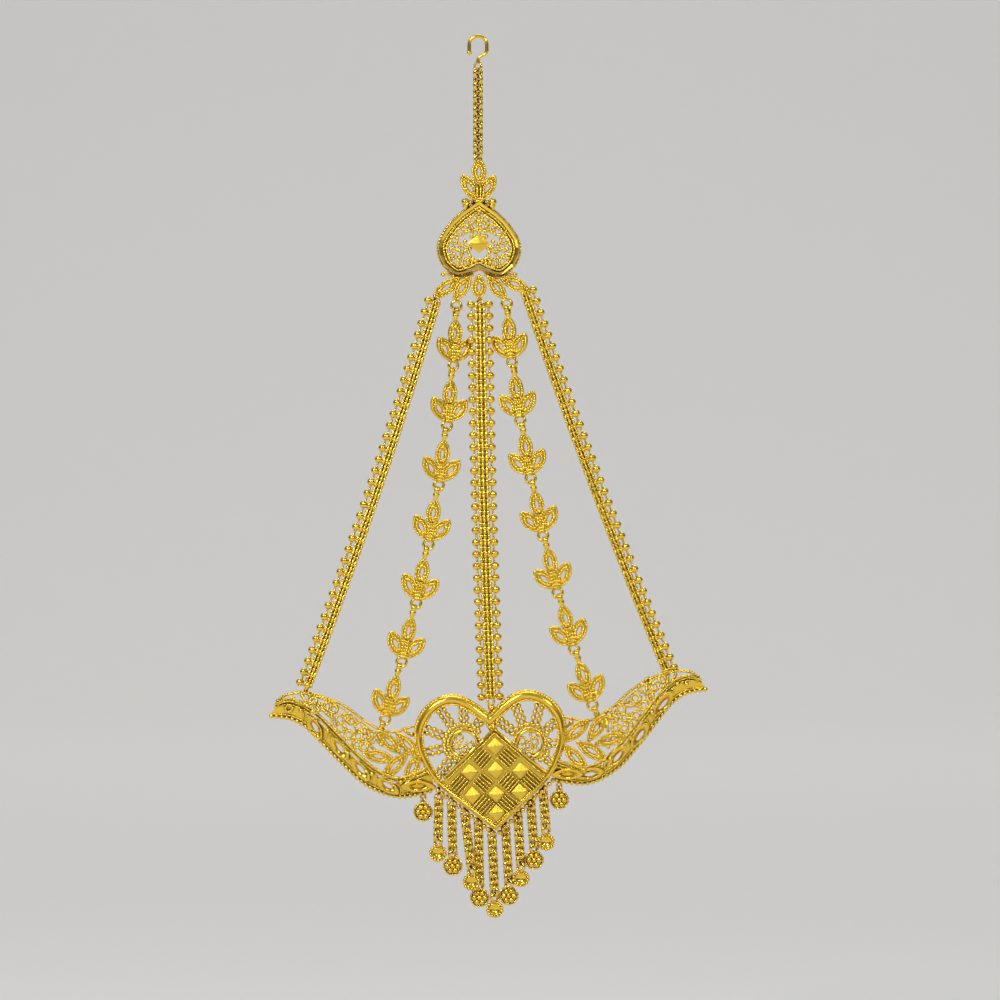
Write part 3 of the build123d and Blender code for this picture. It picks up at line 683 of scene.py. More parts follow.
def build_crown():
    """Three leaves, the pierced spade and a fan of five leaves, with the eyes that the chains hang from."""
    shape = Shape()
    for item in CROWN_LEAVES:
        leaf(shape, *item)
    stem_plate(shape, (-41, -38.8, -36.6), [0.7, 1.2, 0.5], 0.05)
    for x in (-1.1, -0.4, 0.4, 1.1):
        wire_curve(shape, [(x * 0.4, -41.3), (x, -39.2), (x * 1.1, -37)], 0.4, 0.6)
    outline = outline_of(SPADE_RIGHT, 1)
    rim(shape, outline, SPADE_SECTION, FACET, 1 - 0.35 * np.clip((-outline[:, 1] - 55) / 3, 0, 1))
    outline = outline_of(SPADE_RIGHT, 5)
    rim(shape, outline, SPADE_LEDGE, GRAIN)
    bead_rim(shape, outline, 1.38, 1.05, 0.34, 0.66)
    bead_rim(shape, outline, 2.1, 0.85, 0.42, 0.78)
    twisted(shape, flat(inset(outline, -0.1), -0.3), 0.34, 0.9, True)
    for side in (1, -1):
        crown_half(shape, side)
    ball(shape, (0, -1.15, -43.9), 0.55)
    pyramid(shape, 0, -51.5, 2.85, 0.32, 1.15, 0.86)
    shape.points = [p + [MOTIF_X, 0, 0] for p in shape.points]
    crown_eyes(shape)
    make_piece("crown_filigree", shape, "crown_motif")


# ======== crescent
CRESCENT = (3.5, 0.6, -180.5)
ROLL = 3.3


def crescent_place(p):
    """Moves points from the crescent's own frame, whose origin is the heart's middle."""
    return p @ spin(ROLL, 0, 2) + CRESCENT


HEART_RIGHT = [
    (0, -17.5), (2.9, -15), (5.8, -12.5), (8.7, -10), (11.6, -7.5), (14.2, -4.9), (16, -2.3), (17.4, 0.6),
    (18.4, 3.6), (18.85, 6.6), (18.6, 9.3), (17.7, 11.6), (16.1, 13.8), (14.1, 15.4), (11.8, 16.5),
    (9.5, 16.9), (7.1, 16.5), (4.9, 15.4), (2.8, 13.9), (1.2, 12.5), (0, 11.4)
]
HEART_SECTION = [
    (0, 0), (0, 2.6), (0.1, 3.5), (0.35, 4.2), (0.75, 4.55), (1.1, 4.45), (1.4, 4), (1.5, 3.2), (1.5, 0)
]
Lobe = namedtuple("Lobe", "x z radius spokes arch loops")
LOBES = [
    Lobe(-6.75, 4.5, 3.4, (52, 87, 121, 156, 189, 226), (-14, 262), [
        (-7.9, 6, 0.95), (-5.3, 4.1, 0.95), (-7.1, 3.1, 0.75), (-8.6, 4.3, 0.9), (-7.4, 1.2, 0.85),
        (-5.7, 1.5, 0.8)
    ]),
    Lobe(9.65, 3.6, 3.4, (-44, -2, 37, 72, 107, 140), (-82, 192), [
        (10.8, 5.8, 0.95), (10.8, 4, 0.9), (9.1, 3.4, 0.75), (7.9, 4.4, 0.95), (7.9, 1.6, 0.85),
        (10.9, 1.9, 0.85), (9.3, 1, 0.8)
    ])
]
STUDS = [
    (1, 3.5), (-5.8, -2.6), (0.8, -2.5), (7, -3), (-5.3, -8.4), (0.6, -8.5), (6.4, -8.2), (0.4, -13)
]
# middles of the ridged patches between the studs, and which way their ridges lean
PATCHES = [
    (-2.3, 0.5, 1), (3.9, 0.5, -1), (-2.4, -5.4, -1), (3.8, -5.5, 1), (-8.4, -5.5, 1), (9.4, -5.6, -1),
    (-2.5, -10.9, 1), (3.4, -10.9, -1)
]
PLATE_TOP = 3.85
SPOKE_BALL, SPOKE_PITCH, SPOKE_APART, SPOKE_HEIGHT = 0.7, 1.42, 0.72, 3.2
RIDGES, RIDGE_APART, RIDGE_HALF = 5, 0.84, 2.05


def reach(outline, start, ahead):
    """Distance from a point to an outline in one direction."""
    e = np.roll(outline, -1, 0) - outline
    w = outline - start
    det = e[:, 0] * ahead[1] - ahead[0] * e[:, 1]
    det[np.abs(det) < 1e-9] = 1e-9
    t = (e[:, 0] * w[:, 1] - w[:, 0] * e[:, 1]) / det
    u = (ahead[0] * w[:, 1] - ahead[1] * w[:, 0]) / det
    hits = t[(t > 0) & (u >= 0) & (u <= 1)]
    return hits.min() if len(hits) else 0.0


def spoke_line(shape, start, end):
    """Beads from one flat point to another, on a thin wire."""
    count = max(int(round(span(start, end) / SPOKE_PITCH)), 1)
    ends = flat([start, end], SPOKE_HEIGHT)
    for t in np.linspace(0, 1, count + 1):
        ball(shape, ends[0] + t * (ends[1] - ends[0]), SPOKE_BALL, 10, 7)
    tube(shape, ends + [0, 0.1, 0], SPOKE_BALL * 0.55, 6)


def build_lobe(shape, lobe, outline):
    """One lobe of the heart: a round frame with scrolls, and spokes of paired beads out to the rim."""
    low, high = lobe.arch
    middle = np.array([lobe.x, lobe.z])
    frame_line = circle(*middle, lobe.radius - 0.1, 48, low, high - low)
    for wire, height in ((0.42, 3.5), (0.45, 2.5)):
        tube(shape, flat(frame_line, height), wire)
    beaded(shape, flat(circle(*middle, lobe.radius + 0.55, 48, low, high - low), 3.4), 0.42, 0.72)
    for x, z, radius in lobe.loops:
        ring = circle(x, z, radius * 0.94, 24)
        beaded(shape, flat(ring, 3.1), 0.42, 0.74, True)
        tube(shape, flat(ring, 2.6), 0.34, 6, True)
    for angle in range(lobe.spokes[0] - 16, lobe.spokes[-1] + 18, 17):
        ball(shape, flat([middle + heading(angle) * (lobe.radius + 1.42)], SPOKE_HEIGHT)[0], 0.66, 10, 7)
    for angle in lobe.spokes:
        along, across = heading(angle), heading(angle + 90)
        for offset in (SPOKE_APART, -SPOKE_APART):
            foot = middle + across * offset + along * (lobe.radius + 1.6)
            far = reach(outline, foot, along) - 1.7
            if far > 0.6:
                spoke_line(shape, foot, foot + along * far)


def ridged_patch(shape, x, z, lean):
    """Parallel beaded ridges on a square patch that stands on its corner."""
    along = np.array([lean, 1]) / 2 ** 0.5
    across = np.array([1, -lean]) / 2 ** 0.5
    for k in range(RIDGES):
        middle = np.array([x, z]) + across * (k - (RIDGES - 1) / 2) * RIDGE_APART
        ends = flat([middle - along * RIDGE_HALF, middle + along * RIDGE_HALF], PLATE_TOP + 0.32)
        tube(shape, ends, 0.25, 6)
        beaded(shape, ends - [0, 0.26, 0], 0.29, 0.56)


def build_throat(shape):
    """The plate that joins the two lobes below the notch and runs down to the diamond."""
    plate = [(-3, 12.6), (-1.5, 9.6), (0, 7.2), (1.6, 7.2), (2, 9.4), (3.2, 12.4), (0.2, 10.9)]
    shape.slab(plate, 1, 3.4, BRIGHT)
    for side, foot in ((1, 1.2), (-1, 0.8)):
        outer = [(side * 3.8, 12.9), (side * 2.2, 10.8), (side * 1.2 + 0.5, 9), (foot, 7.4)]
        inner = [(side * 1.9, 12.3), (side * 0.9 + 0.1, 10.6), (side * 0.4 + 0.5, 9), (1, 7.9)]
        wire_curve(shape, outer, 0.42, 3.7)
        wire_curve(shape, inner, 0.38, 3.8)


def diamond_plate(shape):
    """The diamond with its frame, studs and ridged patches."""
    left, top, right = (-12.1, -3.7), (1, 7.8), (13, -3.7)
    plate = [top, left, (-12.9, -4.9), (0, -15.9), (13.1, -4.9), right]
    shape.slab(plate, PLATE_TOP - 1, PLATE_TOP, FACET)
    for (x, z), side in ((left, -1), (right, 1)):
        tube(shape, flat([top, (x + side * 0.2, z)], PLATE_TOP + 0.1), 0.42)
        beaded(shape, flat([(top[0], top[1] - 1), (x - side * 0.7, z - 0.4)], PLATE_TOP + 0.15), 0.3, 0.56)
        tube(shape, flat([(side * 13.6, -5.2), (0, -16.6)], PLATE_TOP + 0.3), 0.3)
        beaded(shape, flat([(side * 12.9, -5.3), (0, -15.9)], PLATE_TOP + 0.2), 0.3, 0.56)
    for x, z in STUDS:
        pyramid(shape, x, z, 2.35, 0.88, PLATE_TOP + 0.2)
    for patch in PATCHES:
        ridged_patch(shape, *patch)


def build_heart():
    """Bevelled rim, two pierced lobes and the diamond plate."""
    shape = Shape()
    outline = outline_of(HEART_RIGHT, 5)
    wide = 1 + 0.42 * np.clip((outline[:, 1] - 3) / 9, 0, 1) - 0.25 * np.clip((-outline[:, 1] - 1) / 6, 0, 1)
    rim(shape, outline, HEART_SECTION, BRIGHT, wide)
    bead_rim(shape, outline, 0.12, 3.4, 0.38, 0.7)
    twisted(shape, flat(inset(outline, 0.1), 0.6), 0.4, 1.1, True)
    bead_rim(shape, outline, 1.62 * wide, 3.7, 0.36, 0.68)
    diamond_plate(shape)
    build_throat(shape)
    for lobe in LOBES:
        build_lobe(shape, lobe, outline)
    for side in (1, -1):
        for point in resample(flat([(side * 14.9, -5.9), (side * 0.9, -18.1)], 1.6), 1.32):
            ball(shape, point, 0.64)
    return shape


# ---- wings: ribs of the right wing from the heart outwards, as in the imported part
Rib = namedtuple("Rib", "x z lean up down height")
RIBS = [
    Rib(15, -0.6, 0, 11, 5.8, 3.6), Rib(20, -2.6, 0, 12, 4.9, 4), Rib(23.5, -3.3, 2, 11.8, 4.3, 4.2),
    Rib(27, -2, 8, 10.7, 4.5, 4.2), Rib(31, 1, 15, 9.2, 4.9, 4.2), Rib(35.2, 5.4, 25, 7.6, 4.6, 4.1),
    Rib(39, 9.8, 30, 6.5, 4.5, 4), Rib(42.5, 13.8, 28, 4.6, 4.5, 3.8), Rib(46, 16.8, 12, 2.8, 4.9, 3.4),
    Rib(50, 18.3, 0, 1.1, 4.8, 2.8), Rib(53.3, 17, 22, 0.8, 2.9, 1.9)
]
SKIRT_SCALE = {-1: 1, 1: 0.84}
EDGE_HEIGHT = 1.2
DOME = 1.35


class Wing:
    """The domed surface of one wing. s counts ribs from the heart; t runs from 1 at the top edge to -1."""

    def __init__(self, side):
        self.side = side
        lines = {1: [], 0: [], -1: []}
        for rib in RIBS:
            ux, uz = heading(rib.lean + 90)
            down = rib.down * SKIRT_SCALE[side]
            for t, far, height in ((1, rib.up, EDGE_HEIGHT), (0, 0, rib.height), (-1, -down, EDGE_HEIGHT)):
                lines[t].append((rib.x + far * ux, -height, rib.z + far * uz))
        self.steps = 12
        self.lines = {t: smooth(np.array(p) * [side, 1, 1], self.steps) for t, p in lines.items()}
        self.grid = np.concatenate([self.row(t) for t in np.linspace(-1, 1, 33)])

    def row(self, t, start=0, end=10, above=0):
        """Points along the wing at one t."""
        cut = slice(int(round(start * self.steps)), int(round(end * self.steps)) + 1)
        ridge, edge = self.lines[0][cut], self.lines[1 if t > 0 else -1][cut]
        p = ridge + abs(t) * (edge - ridge)
        p[:, 1] = ridge[:, 1] + abs(t) ** DOME * (edge[:, 1] - ridge[:, 1]) - above
        return p

    def column(self, s, start, end, above=0):
        """Points across the wing at one s, from one t to another."""
        return np.concatenate([self.row(t, s, s, above) for t in np.linspace(start, end, 5)])

    def lift(self, points, above=0):
        """Flat points of the right-hand drawing, moved to this side and up to the surface."""
        p = np.asarray(points, float) * [self.side, 1]
        gap = np.hypot(p[:, None, 0] - self.grid[None, :, 0], p[:, None, 1] - self.grid[None, :, 2])
        near = np.argsort(gap, 1)[:, :4]
        weight = 1 / (np.take_along_axis(gap, near, 1) + 0.05)
        height = (-self.grid[near, 1] * weight).sum(1) / weight.sum(1)
        return flat(p, height + above)


# what lies on each wing, drawn as if on the right: scrolls are (x, z, radius), cells are openings in the skirt
WingParts = namedtuple("WingParts", "leaves plain scrolls wires cells balls")
LEFT_WING = WingParts(
    leaves=[
        ((28.3, 9.2), (22.7, 3.1), 3.3), ((23.6, 8.4), (18.4, 2), 3.3), ((32.4, 3.7), (24.3, 1.6), 3.3),
        ((20.5, 3.6), (27.6, -3), 3.4), ((17.7, 3.2), (21.9, -4.3), 3.3)
    ],
    plain=((14.4, -5.7), (23.2, -5.1), 3.2),
    scrolls=[
        (37.3, 12.4, 1.15), (35.5, 13, 0.9), (37.4, 10.4, 1.15), (32.7, 10.4, 1.05), (35.3, 8.4, 1.1),
        (33, 7.9, 1.1), (31.3, 9.3, 0.85), (31.7, 5.1, 1.05), (33.4, 5.9, 0.95), (38.7, 15, 1),
        (40.2, 15.8, 1), (41.9, 15.8, 0.9), (43.3, 15.2, 0.85), (43.6, 17.4, 0.85), (29.6, 8.2, 0.9),
        (34.4, 11.9, 0.85), (30.4, 6.6, 0.85), (49.9, 15.9, 1)
    ],
    wires=[
        [(46.6, 19.2), (45.6, 17.4), (45.2, 16)], [(44.9, 19.7), (44.5, 18.2), (44.9, 15.9)],
        [(41.9, 16.6), (41, 14.6), (38.9, 12.6)], [(39.8, 14.9), (39.2, 13.3), (39.3, 11)],
        [(36.3, 13.7), (35.2, 11.4), (33.5, 11.2)], [(36.2, 10.9), (35.8, 9.7), (34.2, 9.2)],
        [(34.3, 8), (34.3, 6.8), (34.6, 5.4)], [(33, 6.9), (31.2, 7.1), (29, 6)],
        [(30.8, 10.2), (30.4, 8.4), (30.6, 7.4)], [(30.4, 6), (29.4, 4.6), (28.4, 3.6)],
        [(42.4, 18.2), (40.2, 17.6), (38.2, 16.4)], [(48.8, 18.6), (47.2, 17.2), (45.4, 16.6)],
        [(28.6, 8), (28, 6.2), (27, 5)], [(21.6, 9.4), (20.6, 8), (18.6, 7.4)]
    ],
    cells=[
        ((45.3, 13.8), (42.4, 7.6)), ((40, 8.2), (35.9, 2.2)), ((35.2, 2.4), (30.9, -3.2)),
        ((29.2, -3), (23.8, -6.9))
    ],
    balls=[(46.9, 15.2), (40.5, 9.8), (35.8, 3.9), (30.1, -1.6), (19.6, 7.6), (23, -4)]
)
RIGHT_WING = WingParts(
    leaves=[
        ((17.9, 3.4), (24.9, 8.8), 3.4), ((24.1, 3.2), (29.1, 9.9), 3.4), ((25.8, 2.6), (33.6, 4.5), 3.3),
        ((21.1, 3.6), (28.6, -1.5), 3.5), ((17.9, 3.1), (23.6, -3.9), 3.4)
    ],
    plain=((14.2, -4.4), (22.6, -4.7), 3),
    scrolls=[
        (36.6, 13.4, 1.15), (38.7, 15.8, 1.1), (41.7, 16, 0.95), (43.6, 17.8, 0.95), (32.9, 10.9, 1.15),
        (33.6, 8.8, 0.95), (36.6, 9.2, 1.1), (38.5, 11.5, 1.1), (29.6, 10, 0.9), (31.3, 6.3, 1),
        (33.4, 6.1, 1.05), (28.6, 8, 0.8), (31.3, 8.6, 0.75), (40.4, 13.9, 0.8), (40.2, 17.6, 0.75)
    ],
    wires=[
        [(45, 18.6), (44.8, 17), (43, 15.2)], [(40.1, 16.2), (41, 14.6), (40.2, 12.2)],
        [(39, 14.6), (39.8, 13.2), (39.2, 12.6)], [(38, 14), (37.8, 12.6), (37.8, 10.4)],
        [(34.2, 11.4), (36.4, 11.6), (37.6, 11.4)], [(35.2, 12.6), (33.6, 12.4), (32, 12)],
        [(34.8, 9.8), (35.2, 8.2), (35.4, 6.4)], [(35.6, 8.6), (34.4, 7.4), (34.3, 6.8)],
        [(31.8, 10.2), (30.8, 8.8), (30.6, 7.2)], [(30.2, 9.2), (29.2, 7), (29.4, 5.4)],
        [(27.4, 9.6), (27.9, 8.2), (29.2, 7.4)], [(47.2, 19), (46.2, 17.4), (44.8, 16.2)],
        [(20.2, 9.6), (20.4, 8.4), (18.6, 7)], [(30, 5.2), (29.6, 3), (29, 1.2)]
    ],
    cells=[
        ((20.8, -5), (27.7, -4.3)), ((28.7, -3.6), (33.6, 2)), ((34.9, 1.2), (39.3, 7.1)),
        ((40.6, 8.7), (46.1, 14.6))
    ],
    balls=[(49.6, 16.3), (47.3, 16.4), (40.6, 9.7), (35, 3.6), (29.5, -1.2), (22.8, -3.7), (20.3, 8.3)]
)
WINGS = {-1: LEFT_WING, 1: RIGHT_WING}
# across a skirt cell, and across the plain leaf, from edge to slot: share of the way and height
CELL_SECTION = [(0, -0.5), (0, 0.2), (0.1, 0.5), (0.24, 0.55), (0.38, 0.3), (1, -0.25), (1, -0.8)]
PLAIN_SECTION = [(0, -0.9), (0, 0.35), (0.12, 0.7), (0.3, 0.75), (0.62, 0.45), (1, 0.1), (1, -0.9)]
CELL_WIDTH = 2.9
SKIRT_TOP, SKIRT_LOW = -0.3, -0.9
# along the skirt, in ribs: where the slits below the ridge start, and the flutes
SLITS = [2.2, 3, 4.4, 5.2, 6.3, 7]
FLUTE_START, FLUTE_END, FLUTE_STEP = 1.2, 8, 0.25


def inside(points, outline):
    """Which flat points lie inside an outline."""
    a, b = outline, np.roll(outline, -1, 0)
    x, z = points[:, None, 0], points[:, None, 1]
    over = (a[None, :, 1] > z) != (b[None, :, 1] > z)
    rise = np.where(b[:, 1] == a[:, 1], 1e-9, b[:, 1] - a[:, 1])
    cross = a[None, :, 0] + (z - a[None, :, 1]) / rise * (b - a)[None, :, 0]
    return (over & (x < cross)).sum(1) % 2 == 1


def build_skirt(shape, wing, cells):
    """The sheet between ridge and bead edge, open inside its cells."""
    across = [-0.04, -0.16, -0.27, *np.linspace(SKIRT_TOP, SKIRT_LOW, 13)]
    rows = [wing.row(t, above=-0.9 if t > SKIRT_TOP else -0.15) for t in across]
    front = np.concatenate(rows)
    quads = grid_quads(len(rows), len(rows[0]), wrap_cols=False)
    middles = front[quads].mean(1)[:, (0, 2)]
    keep = np.ones(len(quads), bool)
    for base, tip in cells:
        hole = turned(leaf_curve(span(base, tip) * 0.86, 1.7), base, tip)
        keep &= ~inside(middles * [wing.side, 1], hole)
    for s in SLITS:
        top, foot = wing.row(-0.08, s, s + 0.5), wing.row(-0.3, s, s + 0.5)
        keep &= ~inside(middles, np.concatenate([top, foot[::-1]])[:, (0, 2)])
    quads = quads[keep]
    back = front + [0, 0.7, 0]
    shape.add(np.concatenate([front, back]), [*quads, *(quads[:, ::-1] + len(front))], GRAIN)


def build_flutes(shape, wing, cells):
    """Ridges across the skirt wherever there is no cell."""
    outlines = [turned(leaf_curve(span(base, tip), CELL_WIDTH), base, tip) for base, tip in cells]
    for s in np.arange(FLUTE_START, FLUTE_END, FLUTE_STEP):
        path = wing.column(s, -0.24, SKIRT_LOW)
        middle = path[1:4][:, (0, 2)] * [wing.side, 1]
        if not any(inside(middle, outline).any() for outline in outlines):
            tube(shape, path + [0, 0.12, 0], 0.26, 6)


def marquise(shape, wing, base, tip, outer, inner, section):
    """A polished pointed oval on the wing, between two outlines drawn up the z axis."""
    rows = [wing.lift(turned(outer + share * (inner - outer), base, tip), up) for share, up in section]
    shape.loft(rows, BRIGHT)


def cell(shape, wing, base, tip):
    """A marquise on the skirt, open at its lower side."""
    length = span(base, tip)
    outer = leaf_curve(length, CELL_WIDTH, 40)
    inner = leaf_curve(length * 0.44, 0.95, 40, 0.7) + [0.25, length * 0.28]
    marquise(shape, wing, base, tip, outer, inner, CELL_SECTION)
    beaded(shape, wing.lift(turned(outer * [0.96, 1], base, tip), 0.42), 0.2, 0.42, True)


def plain_leaf(shape, wing, base, tip, width):
    """The marquise beside the heart."""
    outer = leaf_curve(span(base, tip), width, 48)
    marquise(shape, wing, base, tip, outer, outer * [0.34, 0.4] + [0.1, 2.6], PLAIN_SECTION)


def wing_leaf(shape, wing, base, tip, width):
    """A leaf that lies on the wing."""
    (x0, y0, z0), (x1, y1, z1) = wing.lift([base, tip], 0.35)
    leaf(shape, (x0, z0), (x1, z1), width, -y0, y0 - y1)


def wing_edges(shape, wing):
    """Beaded lines along the wing on plain wires, and the balls along its lower edge."""
    for t, start, end, radius, above in (
        (1, 0.5, 10, 0.36, 0), (0.88, 4, 9.2, 0.32, 0.05), (0.03, 0.2, 10, 0.38, 0.1)
    ):
        beaded(shape, wing.row(t, start, end, above), radius, 0.66)
    for t, start, radius, above in ((1, 0.5, 0.34, -0.42), (0, 0.2, 0.36, -0.42), (1, 0.5, 0.3, -1)):
        tube(shape, wing.row(t, start, 10, above), radius)
    twisted(shape, wing.row(-0.13, 0.2, 9.8), 0.28, 0.9)
    for t in (SKIRT_TOP, SKIRT_LOW + 0.03):
        beaded(shape, wing.row(t, 0.2, 9.9), 0.26, 0.5)
    edge = wing.row(-1, 0.2)
    tube(shape, edge + [0, 0.5, 0.3], 0.42)
    for point in resample(edge, 1.3):
        ball(shape, point + [0, 0.1, -0.15], 0.64)


def wing_scroll(shape, path, wire, closed):
    """A beaded wire of the scrollwork on a plain one."""
    tube(shape, path + [0, 0.35, 0], wire, 6, closed)
    beaded(shape, path, SCROLL_WIRE, SCROLL_PITCH, closed)


def build_wing(side):
    """Edges, skirt with its cells, leaves and scrollwork."""
    shape = Shape()
    wing, parts = Wing(side), WINGS[side]
    wing_edges(shape, wing)
    build_skirt(shape, wing, parts.cells)
    build_flutes(shape, wing, parts.cells)
    for base, tip in parts.cells:
        cell(shape, wing, base, tip)
    for item in parts.leaves:
        wing_leaf(shape, wing, *item)
    for x, z, radius in parts.scrolls:
        wing_scroll(shape, wing.lift(circle(x, z, radius * 0.9, 22), 0.15), 0.34, True)
    for points in parts.wires:
        wing_scroll(shape, wing.lift(smooth(points, 6), 0.1), 0.28, False)
    for place in wing.lift(parts.balls, 0.45):
        ball(shape, place, 0.66)
    plain_leaf(shape, wing, *parts.plain)
    return shape


# ---- fringe: where each chain starts, the middle of its disc, and its links
LINK_R = 1.14
LINK_PITCH = 1.54
LINK_TURN = 45
LINK_DEEP, LINK_WIDE = 0.34, 0.48
# between two links: distance along the chain and radius
KNOT = [(-0.77, 0.3), (-0.5, 0.42), (-0.2, 0.64), (0.2, 0.64), (0.5, 0.42), (0.77, 0.3)]
HOOK_EYE_Z = -7.2
HEAD_LINKS = 14
DISC_EYE = 2.95
SIDE_EYE_R = 0.8
SIDE_DISC_EYE = 2.6
# below a band's last eye, where stem is the length of its stem
COLLAR = [(0.9, 0.45), (1.1, 0.8), (1.5, 0.9), (1.9, 0.8)]
Drop = namedtuple("Drop", "top_x x y z links")
DROPS = [
    Drop(-9.8, -10, 0, -203.8, 6), Drop(-6.6, -6.3, 0, -207, 7), Drop(-3.3, -1.6, -1.8, -210.9, 8),
    Drop(0.1, 0.4, 0, -214.9, 9), Drop(3.5, 4.2, -0.4, -217.8, 9), Drop(6.9, 7.7, 0, -214.4, 8),
    Drop(9.9, 10.7, -0.4, -210.1, 8), Drop(13.1, 14, 0, -205.5, 7), Drop(16.3, 17, 0, -201, 5)
]
SIDE_DISCS = [(-13.7, -189.9), (20.3, -186.9)]


def chain_link(shape, x, y, z, way):
    """A thick round link, turned to one side or the other."""
    link(shape, (x, y, z), LINK_R, LINK_DEEP, LINK_WIDE, way * LINK_TURN)


def band_foot(side, stem):
    """The eye below a band, its collar and stem, and the rows of balls that belong to it."""
    foot = Shape()
    hoop(foot, (0, 0, 0), UNIT_RING_R, 0.29, 45)
    lathe(foot, (0, 0, 0), (0, 0, -1), [*COLLAR, (stem, 0.55), (stem + 0.8, 0.5)], 12)
    if side:
        foot.merge(side_unit(side), lambda p: p + [0, 0, 1.2])
        tube(foot, [(side * -0.9, 0, -1.6), (side * 1.4, 0, -1.6)], 0.42)
        necked_ball(foot, side, BEAD_OUT_SIDE, -0.2, -1.55)
    else:
        row_bar(foot, -1.5, 1.5, 1.15)
        for end in (1, -1):
            necked_ball(foot, end, BEAD_OUT_CENTRE, 0, 1.15)
    return foot


def build_eyes():
    """Eyes, bails and stems that meet the chains, in the frame of the whole ornament."""
    shape = Shape()
    for name, side, stem in (("band_left", -1, 2.4), ("band_right", 1, 2.4), ("band_centre", 0, 3.2)):
        run = RUNS[name]
        shape.merge(band_foot(side, stem), hang(run, run.count * UNIT_PITCH + UNIT_RING_R))
    for name in ("leaves_left", "leaves_right"):
        run, bail = RUNS[name], Shape()
        leaf_bail(bail)
        shape.merge(bail, hang(run, run.count * pitch_of(run)))
    for drop in DROPS:
        x, z = drop.top_x, drop.z + DISC_EYE + (drop.links + 1) * LINK_PITCH
        chain_link(shape, x, 0, z, 1)
        tube(shape, [(x, 0, z + 1), (x, 0, z + 2.9)], 0.42)
    for x, z in SIDE_DISCS:
        hoop(shape, (x, 0, z), SIDE_EYE_R, 0.25, LINK_TURN)
        tube(shape, [(x, 0, z + 0.7), (x, 0, z + 2.3)], 0.36)
    return shape


def build_crescent():
    """Heart and wings, with everything that hangs from them or holds them."""
    make_piece("crescent_heart", build_heart(), "crescent", crescent_place)
    for name, side in (("crescent_wing_left", -1), ("crescent_wing_right", 1)):
        make_piece(name, build_wing(side), "crescent", crescent_place)
    make_piece("crescent_eyes", build_eyes(), "crescent")


# ======== discs and round chains
# from back to front: height and radius
CLUSTER_BACK = [(-0.4, 0.2), (-0.4, 1.55), (-0.1, 1.55), (0, 0.2)]
ROSETTE_BOWL = [
    (-0.45, 0.3), (-0.45, 1.5), (0.25, 1.5), (0.4, 1.38), (0.3, 1.2), (-0.02, 0.85), (-0.18, 0.45),
    (-0.2, 0.05)
]
TO_FRONT = (0, -1, 0)


def cluster():
    """Seven grains on a small plate, in a twisted ring."""
    shape = Shape()
    twisted(shape, flat(circle(0, 0, 2.18, 48), 0.1), 0.3, 0.8, True)
    tube(shape, flat(circle(0, 0, 2.05, 28), -0.3), 0.28, 8, True)
    lathe(shape, (0, 0, 0), TO_FRONT, CLUSTER_BACK, 20, GRAIN)
    for x, z in circle(0, 0, 1.26, 6):
        ball(shape, (x, -0.25, z), 0.76)
        tube(shape, flat([(x, z), (x * 1.8, z * 1.8)], -0.1), 0.22, 6)
    ball(shape, (0, -0.35, 0), 0.74)
    return shape


def rosette():
    """A bowl in a rim of beads."""
    shape = Shape()
    lathe(shape, (0, 0, 0), TO_FRONT, ROSETTE_BOWL, 28)
    for x, z in circle(0, 0, 1.82, 14, 90):
        ball(shape, (x, -0.05, z), 0.46)
    return shape


def build_discs():
    """Every disc with its eye: rosettes and clusters in turn in the fringe, and clusters at the sides."""
    for i, drop in enumerate(DROPS, 1):
        shape = rosette() if i % 2 else cluster()
        chain_link(shape, 0, 0, DISC_EYE, 1 if drop.links % 2 else -1)
        place = [drop.x, drop.y, drop.z]
        make_piece(f"disc_{i}", shape, f"fringe_disc_{i}", lambda p: p + place)
    for side, (x, z) in zip(("left", "right"), SIDE_DISCS):
        shape = cluster()
        hoop(shape, (0, 0, SIDE_DISC_EYE), SIDE_EYE_R, 0.25, -LINK_TURN)
        place = [x, 0, z - 0.98 - SIDE_DISC_EYE]
        make_piece(f"disc_{side}", shape, f"side_disc_{side}", lambda p: p + place)


def build_round_chains():
    """Thick round links in place of the plain ones, each a quarter turn from the last."""
    shape = Shape()
    for i in range(1, HEAD_LINKS + 1):
        chain_link(shape, 0, 0, HOOK_EYE_Z - i * LINK_PITCH, 1 if i % 2 else -1)
    make_piece("head_links", shape, "head_chain")
    for number, drop in enumerate(DROPS, 1):
        shape = Shape()
        for i in range(1, drop.links + 1):
            t = i / (drop.links + 1)
            x, y = drop.top_x + t * (drop.x - drop.top_x), t * drop.y
            z = drop.z + DISC_EYE + (drop.links + 1 - i) * LINK_PITCH
            chain_link(shape, x, y, z, -1 if i % 2 else 1)
            lathe(shape, (x, y - 0.15, z + LINK_PITCH / 2), (0, 0, 1), KNOT, 10)
        make_piece(f"fringe_links_{number}", shape, f"fringe_chain_{number}")


build_leaf_chains()
build_bands()
build_crown()
build_crescent()
build_discs()
build_round_chains()


# ======== kept parts, stage and light
def finish_kept():
    """The hook keeps its packed form, and takes the polished gold."""
    for piece in [o for o in bpy.data.objects if o.type == "MESH" and not o.hide_render]:
        for slot in piece.material_slots:
            if slot.material not in (POLISHED, GRAINED):
                slot.material = POLISHED


finish_kept()

FLOOR_Z, BACK_Y, BACK_TOP = -0.262, 4, 4.0
BEND, BEND_STEPS = 1.2, 16
HALF_WIDTH = 3.0


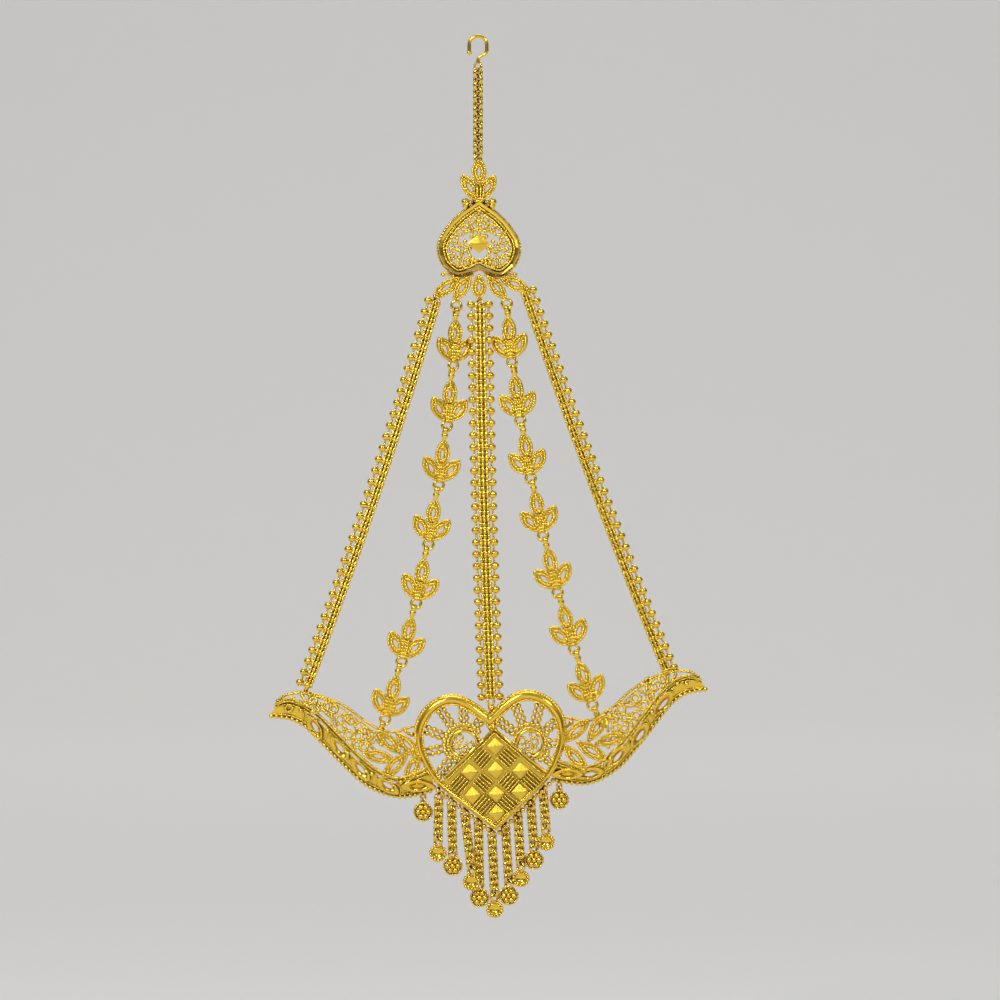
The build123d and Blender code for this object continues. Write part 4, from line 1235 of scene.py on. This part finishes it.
def make_stage():
    """A pale floor that curves up into a backdrop."""
    turn = np.linspace(0, pi / 2, BEND_STEPS)
    profile = [(-HALF_WIDTH, FLOOR_Z)]
    profile += [(BACK_Y - BEND + BEND * sin(a), FLOOR_Z + BEND - BEND * cos(a)) for a in turn]
    profile += [(BACK_Y, BACK_TOP)]
    points = [(x, y, z) for x in (-HALF_WIDTH, HALF_WIDTH) for y, z in profile]
    faces = grid_quads(2, len(profile), wrap_cols=False).tolist()
    mesh = bpy.data.meshes.new("stage")
    mesh.from_pydata(points, [], faces)
    mesh.polygons.foreach_set("use_smooth", [True] * len(faces))
    paper = bpy.data.materials.new("pale_paper")
    paper.use_nodes = True
    shader = paper.node_tree.nodes["Principled BSDF"]
    set_inputs(paper.node_tree, shader, {"Base Color": (0.86, 0.85, 0.83, 1), "Roughness": 0.9})
    mesh.materials.append(paper)
    floor = bpy.data.objects.new("stage", mesh)
    bpy.context.scene.collection.objects.link(floor)


MIDDLE = (0, 0, -0.12)
Light = namedtuple("Light", "name place target size power")
LIGHTS = [
    Light("key", (-0.45, -0.85, 0.6), MIDDLE, 0.34, 6),
    Light("glint", (0.6, -0.95, 0.5), MIDDLE, 0.16, 2.4), Light("front", (0, -2.3, 0), MIDDLE, 1.2, 1.7),
    Light("low", (-0.8, -0.9, -0.25), MIDDLE, 0.2, 0.2), Light("top", (0, 1.8, 3), (0, 3.2, 0), 2, 40)
]
# the surround's grey at its foot, its top and halfway
SURROUND = [(0, [0.01] * 3), (1, [0.45] * 3), (0.5, [0.1] * 3)]


def make_lights():
    """A soft light from above for the form, one for glints, dim fill, and one on the backdrop."""
    for item in LIGHTS:
        data = bpy.data.lights.new(item.name, "AREA")
        data.size, data.energy = item.size, item.power
        light = bpy.data.objects.new(item.name, data)
        light.location = item.place
        aim = Vector(item.target) - Vector(item.place)
        light.rotation_euler = aim.to_track_quat("-Z", "Y").to_euler()
        bpy.context.scene.collection.objects.link(light)
    world = bpy.data.worlds.new("studio")
    world.use_nodes = True
    tree = world.node_tree
    where = add_node(tree, "TexCoord", {})["Generated"]
    up = add_node(tree, "SeparateXYZ", {0: where})["Z"]
    height = add_node(tree, "MapRange", {"From Min": -1, "Value": up})["Result"]
    grey = add_ramp(tree, height, SURROUND)
    set_inputs(tree, tree.nodes["Background"], {"Color": grey, "Strength": 1.0})
    bpy.context.scene.world = world


make_stage()
make_lights()
